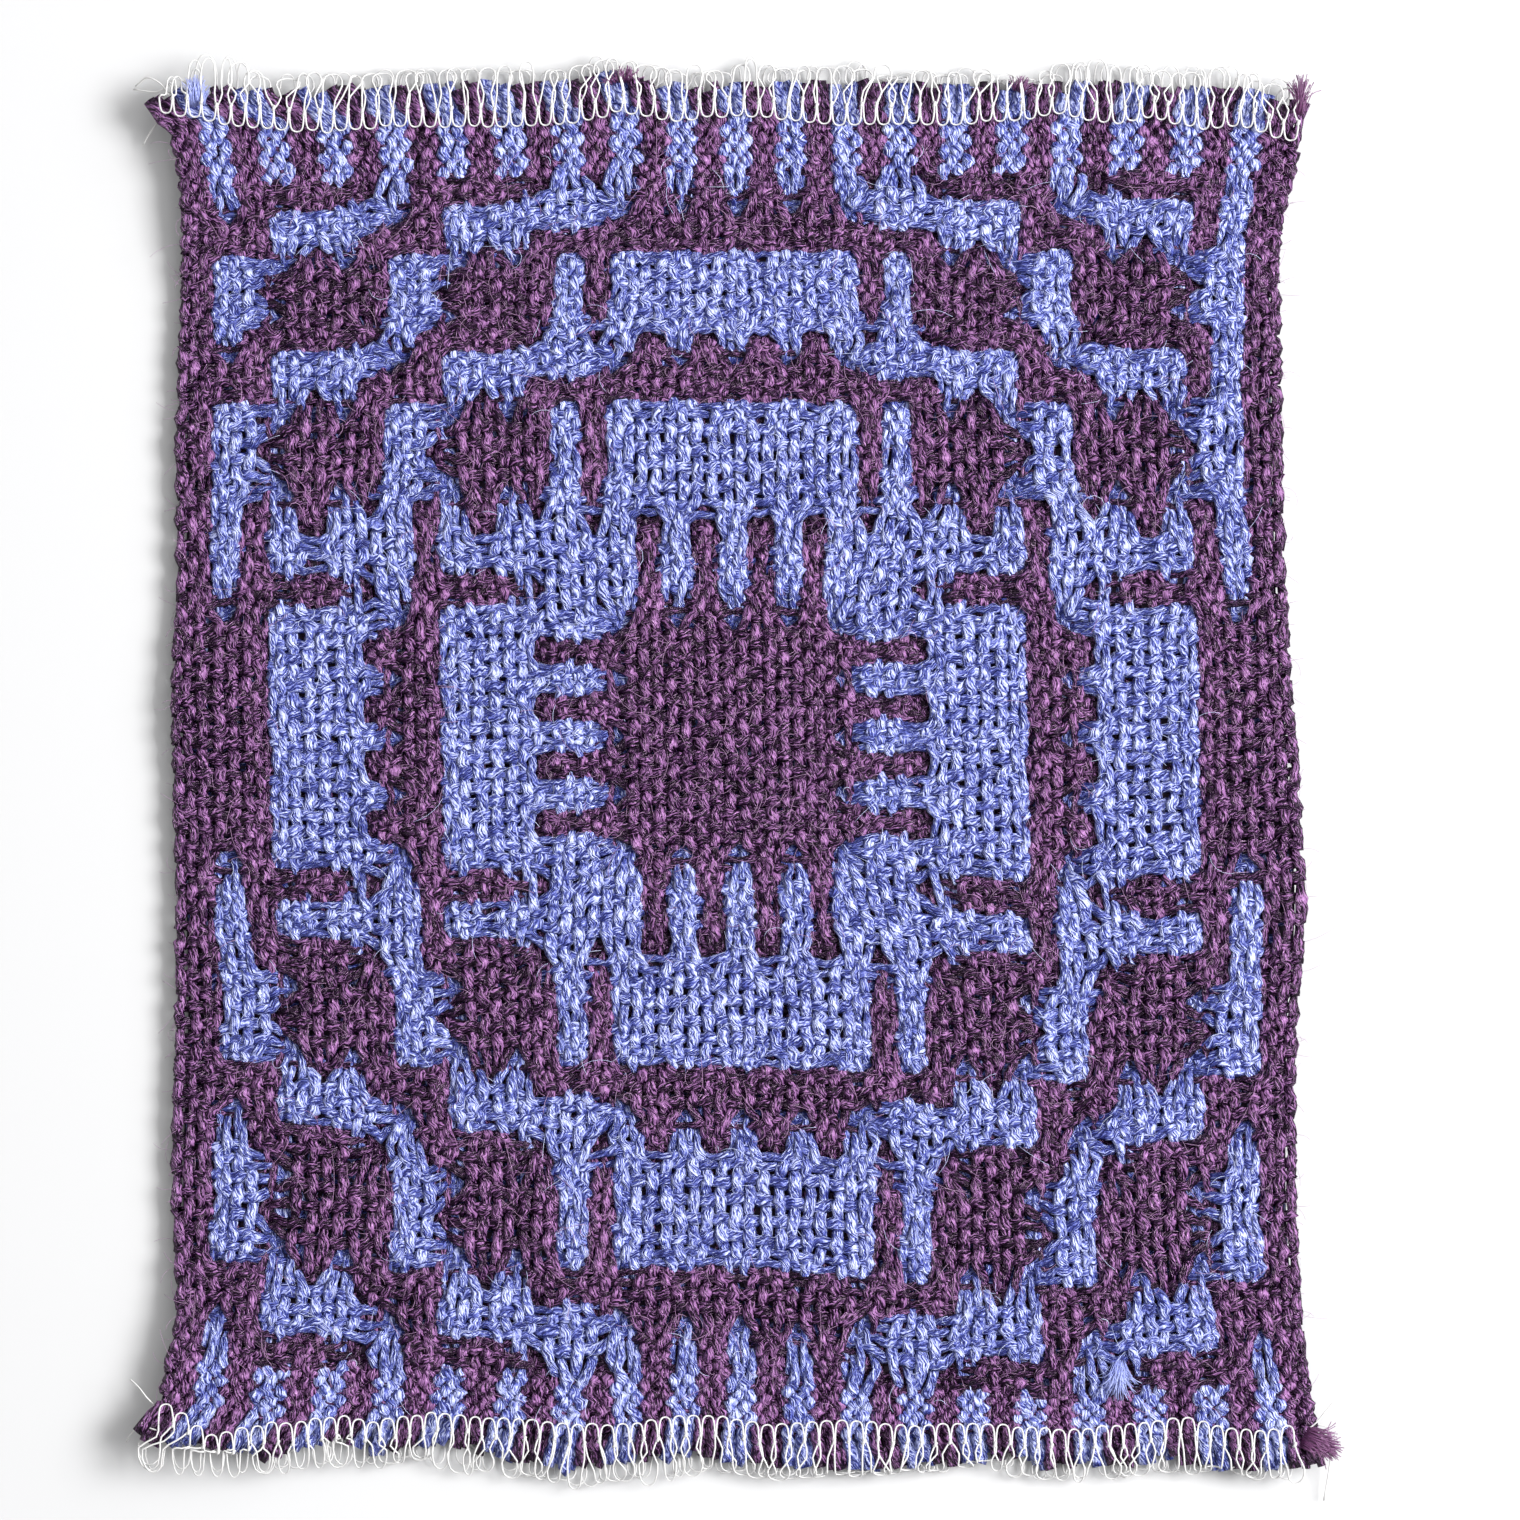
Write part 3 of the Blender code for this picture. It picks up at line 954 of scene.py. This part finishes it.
def add_ring(strands, x, half, top, over):
    """Adds one stitch on the cloth, or below it, and returns its path."""
    loose = table_value(LOOSE_TOP if top else LOOSE_BOTTOM, "x", "more", x)
    out = LOOP_OUT + loose + abs(rng.normal(0.0, LOOP_UNEVEN))
    lean = rng.normal(0.0, LOOP_LEAN)
    if not top:
        lean -= CORNER_LEAN * float(ease((CORNER_FROM - x) / CORNER_OVER))
    waist, reach = half * rng.uniform(*LOOP_WAIST), half * rng.uniform(*LOOP_REACH)
    path = ring_path(x, half, top, over, out, lean, waist, reach)
    wide = np.full(len(path), THREAD)
    wide[TIP_PARTS] *= PULLED
    strands.add(path, wide)
    return path


def add_knot(strands, path):
    """A small knot of the second needle thread on a leg."""
    strands.add(path[KNOT_PART] + np.array(KNOT), KNOT_WIDE)


# Loose thread ends, each a few mm long, by their points: x, y and the height over the surface
END_THIN = 0.9             # their thickness as a share of the thread's
END_STEPS = 5
THREAD_ENDS = [
    [(-63.9, 73.6, 2.9), (-64.6, 72.6, 2.6), (-65.6, 71.3, 2.0), (-66.3, 70.2, 1.4)],
    [(-61.2, 75.6, 5.0), (-62.8, 76.4, 5.2), (-64.6, 75.8, 4.6), (-67.2, 76.2, 3.4)],
    [(-63.2, 75.4, 5.0), (-64.0, 76.6, 5.1), (-65.6, 77.4, 4.4), (-67.0, 76.6, 3.2)],
    [(-64.6, -70.6, 4.4), (-65.6, -69.6, 4.6), (-66.6, -68.4, 4.2), (-67.6, -67.6, 3.6)],
    [(-64.2, -73.2, 5.4), (-66.0, -72.8, 5.0), (-67.4, -73.6, 4.0), (-68.0, -74.6, 3.0)],
    [(62.9, -73.6, 3.6), (64.4, -72.6, 4.0), (65.6, -71.2, 4.2), (66.6, -70.0, 4.0)],
    [(64.8, -72.6, 3.6), (66.2, -73.4, 3.2), (66.3, -77.0, 2.0), (65.7, -81.4, 1.0)],
]


def make_stitching(material):
    """Both overlocked ends, with the stitches on the cloth and below it, and the loose thread ends."""
    strands = Strands(THREAD_SIDES)
    for top in (True, False):
        x = STITCH_FROM
        while x < STITCH_TO:
            pitch = STITCH_PITCH * rng.uniform(1.0 - STITCH_UNEVEN, 1.0 + STITCH_UNEVEN)
            path = add_ring(strands, x, pitch / 2.0, top, True)
            add_ring(strands, x, pitch / 2.0, top, False)
            add_knot(strands, path)
            x += pitch
    for points in THREAD_ENDS:
        strands.add(smooth_path(points, END_STEPS), THREAD * END_THIN)
    return strands.make("overlock_stitching", material)


# Loose fibres, and the frayed tufts at the cut ends

FIBRE = 0.055              # thickness of a fibre
FIBRE_POINTS = 6
FIBRE_ARCH = (0.45, 1.0)   # how much of an arch a fibre makes, from its root to its tip

# Hairs on the cloth's face. A length has the shape and scale of a gamma draw, others their least and most.
FUZZ_COUNT = 2600
FUZZ_HALF = (19.3, 20.5)   # how far they reach from the cloth's middle, in blocks
BLUE_SMOOTH = 0.55         # share of the blue yarn's hairs that are left out
FUZZ_DEEP = 0.12           # how far below the cloth's top they start
FUZZ_SHORTEST = 0.5
FUZZ_LENGTH = (3.0, 0.55)
FUZZ_CURL = 1.5            # in radians, as a spread
FUZZ_LIFT = (0.15, 0.8)
FUZZ_TONE = (0.6, 1.0)

# Hairs along each selvedge
EDGE_COUNT = 90
EDGE_HALF = 21.0           # in blocks from the middle row
EDGE_FIBRE = 0.8           # thickness as a share of the others'
EDGE_HEIGHT = (0.6, 2.2)
EDGE_SHORTEST = 0.8
EDGE_LENGTH = (2.0, 0.6)
EDGE_FAN = 0.9
EDGE_CURL = 1.2
EDGE_LIFT = 0.2
EDGE_TONE = 0.8

# Fibres of a frayed yarn end
TUFT_FIBRE = 1.9
TUFT_ASIDE = 2.2           # how far the outermost starts from the yarn's middle, in spreads of its root
TUFT_HEIGHT = (1.0, 1.9)
TUFT_FAN = (0.7, 0.8)      # how much a fibre's heading follows its place, and how much it is by chance
TUFT_LENGTH = (0.55, 1.0)
TUFT_ROUND = 0.16          # how much shorter the outer fibres are
TUFT_CURL = 0.5
TUFT_LIFT = (0.7, 1.3)
TUFT_TIP = (0.05, 0.40)    # how much lighter the tip is
TUFT_TONE = (0.0, 0.16)

# Frayed yarn ends: where each starts, the way it points and how it fans out, in degrees, and its size
TUFTS = short_table("x y heading spread long fibres root blue", [
    (62.7, 73.4, 84.0, 5.0, 4.8, 90, 0.28, False),
    (63.2, -73.9, -22.0, 4.0, 4.9, 230, 0.55, False),
    (42.8, -65.6, -94.0, 10.0, 4.7, 220, 0.26, True),
    (-60.1, 74.2, 90.0, 3.0, 3.6, 180, 0.42, True),
    (31.5, 76.0, 70.0, 20.0, 2.2, 60, 0.4, False),
    (-12.6, 77.0, 100.0, 30.0, 2.0, 80, 0.7, False),
])


def fibre_path(x, y, z, heading, long, curl, lift):
    """A thin curved hair, from its root in the cloth."""
    steps = np.linspace(0.0, 1.0, FIBRE_POINTS)
    turn = heading + curl * steps
    step = long / (FIBRE_POINTS - 1.0)
    px = x + np.concatenate([[0.0], np.cumsum(np.cos(turn[:-1]) * step)])
    py = y + np.concatenate([[0.0], np.cumsum(np.sin(turn[:-1]) * step)])
    pz = z + lift * np.sin(math.pi * steps * rng.uniform(*FIBRE_ARCH))
    return np.stack([px, py, pz], -1)


def nearest_block(place):
    """The number of the block at a place, counted from the first one."""
    return int(round(min(max(place, -END_BLOCK), END_BLOCK))) + END_BLOCK


def add_surface_fuzz(plum, blue):
    """Fine hairs all over the cloth's face."""
    for _ in range(FUZZ_COUNT):
        u, v = (rng.uniform(-half, half) for half in FUZZ_HALF)
        on_blue = FACE[nearest_block(v), nearest_block(u)] > 0.5
        if on_blue and rng.uniform() < BLUE_SMOOTH:
            continue
        x, y = cloth_place(u, v)
        z = float(underside(x, y)) + CLOTH_THICK - FUZZ_DEEP
        long = rng.gamma(*FUZZ_LENGTH) + FUZZ_SHORTEST
        heading = rng.uniform(0.0, 2.0 * math.pi)
        curl = rng.normal(0.0, FUZZ_CURL)
        path = fibre_path(float(x), float(y), z, heading, long, curl, rng.uniform(*FUZZ_LIFT))
        (blue if on_blue else plum).add(path, FIBRE, tone=rng.uniform(*FUZZ_TONE))


def add_edge_fuzz(plum):
    """Hairs that stand out from both selvedges."""
    for side in (-1.0, 1.0):
        for _ in range(EDGE_COUNT):
            x, y = cloth_place(side * PLUM_TURN, rng.uniform(-EDGE_HALF, EDGE_HALF))
            heading = rng.normal(0.0, EDGE_FAN) + (math.pi if side < 0 else 0.0)
            z = float(underside(x, y)) + rng.uniform(*EDGE_HEIGHT)
            long = EDGE_SHORTEST + rng.gamma(*EDGE_LENGTH)
            path = fibre_path(float(x), float(y), z, heading, long, rng.normal(0.0, EDGE_CURL), EDGE_LIFT)
            plum.add(path, FIBRE * EDGE_FIBRE, tone=EDGE_TONE)


def add_tufts(plum, blue):
    """Frayed yarn ends: brushes of fibres that fan out from a narrow root and pale towards their tips."""
    for tuft in TUFTS:
        strands = blue if tuft["blue"] else plum
        for _ in range(tuft["fibres"]):
            aside = float(np.clip(rng.normal(0.0, 1.0), -TUFT_ASIDE, TUFT_ASIDE))
            heading = math.radians(tuft["heading"])
            x = tuft["x"] - math.sin(heading) * aside * tuft["root"]
            y = tuft["y"] + math.cos(heading) * aside * tuft["root"]
            z = float(underside(np.array(x), np.array(y))) + rng.uniform(*TUFT_HEIGHT)
            heading += math.radians(tuft["spread"]) * (TUFT_FAN[0] * aside + rng.normal(0.0, TUFT_FAN[1]))
            long = tuft["long"] * rng.uniform(*TUFT_LENGTH) * (1.0 - TUFT_ROUND * abs(aside))
            path = fibre_path(x, y, z, heading, long, rng.normal(0.0, TUFT_CURL), rng.uniform(*TUFT_LIFT))
            tone = np.linspace(0.0, rng.uniform(*TUFT_TIP), len(path)) + rng.uniform(*TUFT_TONE)
            strands.add(path, FIBRE * TUFT_FIBRE, tone=tone)


def make_fibres(plum_material, blue_material):
    """All loose fibres, by their colour."""
    plum, blue = Strands(FIBRE_SIDES), Strands(FIBRE_SIDES)
    add_surface_fuzz(plum, blue)
    add_edge_fuzz(plum)
    add_tufts(plum, blue)
    return [plum.make("plum_fibres", plum_material), blue.make("blue_fibres", blue_material)]


# Materials

# A yarn's colour from the painted shade of its folds, through its own colour, to the painted highlight on
# its fibres, and the tint of its gloss
BLUE_PAINTED_SHADE = (0.014, 0.018, 0.125, 1.0)
BLUE_MID = (0.078, 0.100, 0.415, 1.0)
BLUE_PAINTED_HIGHLIGHT = (0.500, 0.548, 0.870, 1.0)
BLUE_GLOSS = (0.80, 0.85, 1.0, 1.0)
PLUM_PAINTED_SHADE = (0.002, 0.0006, 0.003, 1.0)
PLUM_MID = (0.014, 0.0016, 0.020, 1.0)
PLUM_PAINTED_HIGHLIGHT = (0.305, 0.138, 0.332, 1.0)
PLUM_GLOSS = (1.0, 0.70, 1.0, 1.0)
BLUE_SHINE = 0.85          # how strong the gloss is
PLUM_SHINE = 0.52

# Loose fibres, and the same yarns where they fray
PLUM_FIBRE = (0.46, 0.28, 0.46, 1.0)
PLUM_TUFT = (0.120, 0.018, 0.105, 1.0)
BLUE_FIBRE = (0.66, 0.72, 0.92, 1.0)
BLUE_TUFT = (0.330, 0.380, 0.800, 1.0)
# the dark sheet's colour is painted shade for the gaps between the yarns
GAP_SHADE_COLOUR = (0.016, 0.007, 0.022, 1.0)
THREAD_COLOUR = (0.60, 0.595, 0.59, 1.0)
FLOOR_COLOUR = (0.53, 0.53, 0.535, 1.0)
MATT = 0.9

# What makes a yarn lighter or darker: the middle of each effect and its strength. Ridges paint shade into
# the folds, streaks are partly the fibres' own lines and partly painted highlight, patches are the yarn's
# own, and tone carries the painted light and shade of beads and dips
RIDGE_SHADE = (-0.2, 0.40)
STREAK_SHADE = (0.5, 3.8)
PATCH_SHADE = (0.5, 0.5)
TONE_SHADE = (0.5, 0.7)

TWIST_DRIFT = 1.6          # turns by which the twist drifts along the yarn
TWIST_BEND = 2.2           # turns by which it is bent from place to place
RIDGE_HEIGHT = 0.24        # height of the yarn's relief, in mm
RIDGE_SHARE = 0.55         # the strands' share of the relief, beside the streaks
YARN_ROUGH = 0.26
FIBRE_ROUGH = 0.5
THREAD_ROUGH = 0.6


def new_group(name, inputs, outputs):
    """An empty node group with named inputs and outputs, and its two end nodes."""
    group = bpy.data.node_groups.new(name, "ShaderNodeTree")
    for label, kind, value in inputs:
        socket = group.interface.new_socket(name=label, in_out="INPUT", socket_type=kind)
        if value is not None:
            socket.default_value = value
    for label, kind in outputs:
        group.interface.new_socket(name=label, in_out="OUTPUT", socket_type=kind)
    return group, group.nodes.new("NodeGroupInput"), group.nodes.new("NodeGroupOutput")


def math_node(group, operation, first, second=None):
    """A maths node whose inputs are sockets or plain numbers."""
    node = group.nodes.new("ShaderNodeMath")
    node.operation = operation
    for socket, value in zip(node.inputs, (first, second)):
        if value is None:
            continue
        if isinstance(value, (int, float)):
            socket.default_value = value
        else:
            group.links.new(value, socket)
    return node.outputs[0]


def noise_node(group, place, scale, detail=2.0, roughness=0.5):
    """Noise along a line where place is one socket, or over a plane where it is a pair."""
    node = group.nodes.new("ShaderNodeTexNoise")
    if isinstance(place, tuple):
        node.noise_dimensions = "2D"
        spot = group.nodes.new("ShaderNodeCombineXYZ")
        group.links.new(place[0], spot.inputs["X"])
        group.links.new(place[1], spot.inputs["Y"])
        group.links.new(spot.outputs[0], node.inputs["Vector"])
    else:
        node.noise_dimensions = "1D"
        group.links.new(place, node.inputs["W"])
    node.inputs["Scale"].default_value = scale
    node.inputs["Detail"].default_value = detail
    node.inputs["Roughness"].default_value = roughness
    return node.outputs["Fac"]


def twist_group():
    """The twist of a yarn: a rounded ridge for each strand, and fine streaks that follow it."""
    group, start, end = new_group(
        "yarn twist",
        [
            ("Place", "NodeSocketVector", None),
            ("Strands", "NodeSocketFloat", 9.0),
            ("Repeat", "NodeSocketFloat", 1.0),
        ],
        [("Ridge", "NodeSocketFloat"), ("Streak", "NodeSocketFloat"), ("Patch", "NodeSocketFloat")],
    )

    def times(value, factor):
        return math_node(group, "MULTIPLY", value, factor)

    split = group.nodes.new("ShaderNodeSeparateXYZ")
    group.links.new(start.outputs["Place"], split.inputs[0])
    length = split.outputs["X"]
    along = math_node(group, "DIVIDE", length, start.outputs["Repeat"])
    around = times(split.outputs["Y"], start.outputs["Strands"])
    drift = times(noise_node(group, length, scale=0.9), TWIST_DRIFT)
    turns = math_node(group, "ADD", math_node(group, "SUBTRACT", along, around), drift)
    bend = noise_node(group, (times(turns, 0.6), times(length, 0.8)), scale=1.0, detail=0.0)
    bent = math_node(group, "ADD", turns, times(bend, TWIST_BEND))
    ridge = math_node(group, "ABSOLUTE", math_node(group, "SINE", times(bent, math.pi)))
    across = (times(turns, 1.3), times(length, 0.9))
    streak = noise_node(group, across, scale=1.0, detail=3.0, roughness=0.65)
    patch = noise_node(group, length, scale=0.35)
    for name, value in (("Ridge", ridge), ("Streak", streak), ("Patch", patch)):
        group.links.new(value, end.inputs[name])
    return group


def new_material(name):
    """A material with its node tree and its shader."""
    material = bpy.data.materials.new(name)
    material.use_nodes = True
    return material, material.node_tree, material.node_tree.nodes["Principled BSDF"]


def shaded(tree, value, effect):
    """An effect on a yarn's colour, by its middle and its strength."""
    return math_node(tree, "MULTIPLY", math_node(tree, "SUBTRACT", value, effect[0]), effect[1])


def yarn_material(name, twist, dark, mid, light, gloss, shine):
    """A soft plied yarn, with painted shade in its folds and painted highlight where its fibres would
    catch the light.
    """
    material, tree, shader = new_material(name)
    place = tree.nodes.new("ShaderNodeUVMap")
    place.uv_map = "yarn"
    yarn = tree.nodes.new("ShaderNodeGroup")
    yarn.node_tree = twist
    tree.links.new(place.outputs[0], yarn.inputs["Place"])
    tone = tree.nodes.new("ShaderNodeAttribute")
    tone.attribute_name = "tone"

    ridge = shaded(tree, yarn.outputs["Ridge"], RIDGE_SHADE)
    streak = shaded(tree, yarn.outputs["Streak"], STREAK_SHADE)
    patch = shaded(tree, yarn.outputs["Patch"], PATCH_SHADE)
    own = shaded(tree, tone.outputs["Fac"], TONE_SHADE)
    fine, broad = math_node(tree, "ADD", ridge, streak), math_node(tree, "ADD", patch, own)
    shade = math_node(tree, "ADD", fine, broad)
    # The ramp paints shade into the folds and dips and paints highlight onto the streaks and beads
    ramp = tree.nodes.new("ShaderNodeValToRGB")
    ramp.color_ramp.elements[0].position = 0.0
    ramp.color_ramp.elements[0].color = dark
    ramp.color_ramp.elements[1].position = 1.0
    ramp.color_ramp.elements[1].color = light
    middle = ramp.color_ramp.elements.new(0.50)
    middle.color = mid
    tree.links.new(shade, ramp.inputs[0])
    tree.links.new(ramp.outputs[0], shader.inputs["Base Color"])

    bump = tree.nodes.new("ShaderNodeBump")
    bump.inputs["Strength"].default_value = 1.0
    bump.inputs["Distance"].default_value = RIDGE_HEIGHT * MM
    strands = math_node(tree, "MULTIPLY", yarn.outputs["Ridge"], RIDGE_SHARE)
    height = math_node(tree, "ADD", strands, yarn.outputs["Streak"])
    tree.links.new(height, bump.inputs["Height"])
    tree.links.new(bump.outputs[0], shader.inputs["Normal"])
    shader.inputs["Roughness"].default_value = YARN_ROUGH
    shader.inputs["Specular IOR Level"].default_value = shine
    shader.inputs["Specular Tint"].default_value = gloss
    return material


def fibre_material(name, tuft, hair):
    """Loose fibres: the yarn's own colour in a tuft, and paler where a single hair catches the light."""
    material, tree, shader = new_material(name)
    tone = tree.nodes.new("ShaderNodeAttribute")
    tone.attribute_name = "tone"
    ramp = tree.nodes.new("ShaderNodeValToRGB")
    ramp.color_ramp.elements[0].color = tuft
    ramp.color_ramp.elements[1].color = hair
    tree.links.new(tone.outputs["Fac"], ramp.inputs[0])
    tree.links.new(ramp.outputs[0], shader.inputs["Base Color"])
    shader.inputs["Roughness"].default_value = FIBRE_ROUGH
    return material


def plain_material(name, colour, roughness):
    """A finish of one colour."""
    material, _, shader = new_material(name)
    shader.inputs["Base Color"].default_value = colour
    shader.inputs["Roughness"].default_value = roughness
    return material


# Painted shade: a dark sheet between the cloth's two layers, for the shade in the gaps between the yarns

SHADE_SHEET_CELLS = (60, 72)
SHADE_SHEET_HALF = (19.35, 22.2)    # how far it reaches from the cloth's middle, in blocks
SHADE_SHEET_HEIGHT = 0.62       # over the cloth's underside, in mm
SHADE_SHEET_THICK = 0.16


def make_gap_shade(material):
    """A thin dark sheet, low in the cloth, that closes the gaps between the yarns with painted shade."""
    across, along = SHADE_SHEET_CELLS
    bpy.ops.mesh.primitive_grid_add(x_subdivisions=across, y_subdivisions=along, size=2.0)
    shade_sheet = bpy.context.object
    shade_sheet.name = shade_sheet.data.name = "shade_sheet"
    places = np.array([vertex.co for vertex in shade_sheet.data.vertices])
    x, y = cloth_place(places[:, 0] * SHADE_SHEET_HALF[0], places[:, 1] * SHADE_SHEET_HALF[1])
    z = underside(x, y) + SHADE_SHEET_HEIGHT
    for vertex, place in zip(shade_sheet.data.vertices, np.stack([x, y, z], -1) * MM):
        vertex.co = place
    body = shade_sheet.modifiers.new("body", "SOLIDIFY")
    body.thickness = SHADE_SHEET_THICK * MM
    body.offset = 1.0
    shade_sheet.data.shade_smooth()
    shade_sheet.data.materials.append(material)
    return shade_sheet


# Floor, light and camera

CENTRE = Vector((2.64, 1.42, 0.0)) * MM     # what the camera looks at
CAMERA_HEIGHT = 0.8        # in metres, as the sizes below
FRAME_WIDE = 0.1702        # what the picture shows from side to side
FLOOR_SIZE = 4.0
SENSOR = 36.0              # in mm
DAYLIGHT = 0.17
LAMPS = [
    {"name": "key", "at": (0.62, 0.10, 0.66), "size": 0.40, "power": 13.0},
    {"name": "broad", "at": (0.55, 0.20, 0.80), "size": 1.30, "power": 10.0},
    {"name": "fill", "at": (-0.40, 0.05, 0.75), "size": 0.60, "power": 2.2},
]


def make_stage():
    """A plain pale floor under the cloth."""
    bpy.ops.mesh.primitive_plane_add(size=FLOOR_SIZE, location=(0.0, 0.0, 0.0))
    floor = bpy.context.object
    floor.name = "floor"
    floor.data.materials.append(plain_material("floor", FLOOR_COLOUR, MATT))


def make_light():
    """Daylight from all round, and soft lamps, the strongest of them from the right."""
    world = bpy.data.worlds.new("studio")
    bpy.context.scene.world = world
    world.use_nodes = True
    background = world.node_tree.nodes["Background"]
    background.inputs["Color"].default_value = (1.0, 1.0, 1.0, 1.0)
    background.inputs["Strength"].default_value = DAYLIGHT
    for row in LAMPS:
        lamp = bpy.data.lights.new(row["name"], "AREA")
        lamp.size = row["size"]
        lamp.energy = row["power"]
        holder = bpy.data.objects.new(row["name"], lamp)
        holder.location = row["at"]
        holder.rotation_euler = (CENTRE - Vector(row["at"])).to_track_quat("-Z", "Y").to_euler()
        bpy.context.scene.collection.objects.link(holder)


def make_camera():
    """A camera straight above the cloth."""
    camera = bpy.data.cameras.new("camera")
    camera.sensor_width = SENSOR
    camera.lens = SENSOR * CAMERA_HEIGHT / FRAME_WIDE
    camera.clip_start = 0.01
    holder = bpy.data.objects.new("camera", camera)
    holder.location = CENTRE + Vector((0.0, 0.0, CAMERA_HEIGHT))
    bpy.context.scene.collection.objects.link(holder)
    bpy.context.scene.camera = holder
    bpy.context.scene.view_settings.view_transform = "Standard"


# The whole


def main():
    """Makes every piece, and gives each its body."""
    twist = twist_group()
    blue = yarn_material("blue yarn", twist, BLUE_PAINTED_SHADE, BLUE_MID, BLUE_PAINTED_HIGHLIGHT, BLUE_GLOSS, BLUE_SHINE)
    plum = yarn_material("plum yarn", twist, PLUM_PAINTED_SHADE, PLUM_MID, PLUM_PAINTED_HIGHLIGHT, PLUM_GLOSS, PLUM_SHINE)
    shade_sheet = make_gap_shade(plain_material("painted gap shade", GAP_SHADE_COLOUR, MATT))
    woven = [
        make_warp("blue_warp", True, blue),
        make_warp("plum_warp", False, plum),
        make_weft("blue_weft", True, blue),
        make_weft("plum_weft", False, plum),
    ]
    thread = make_stitching(plain_material("thread", THREAD_COLOUR, THREAD_ROUGH))
    fibres = make_fibres(
        fibre_material("plum fibre", PLUM_TUFT, PLUM_FIBRE),
        fibre_material("blue fibre", BLUE_TUFT, BLUE_FIBRE),
    )
    pieces = [shade_sheet, thread] + woven + fibres
    for piece in pieces:
        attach(piece, "root")
    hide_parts("cloth")
    make_stage()
    make_light()
    make_camera()


main()
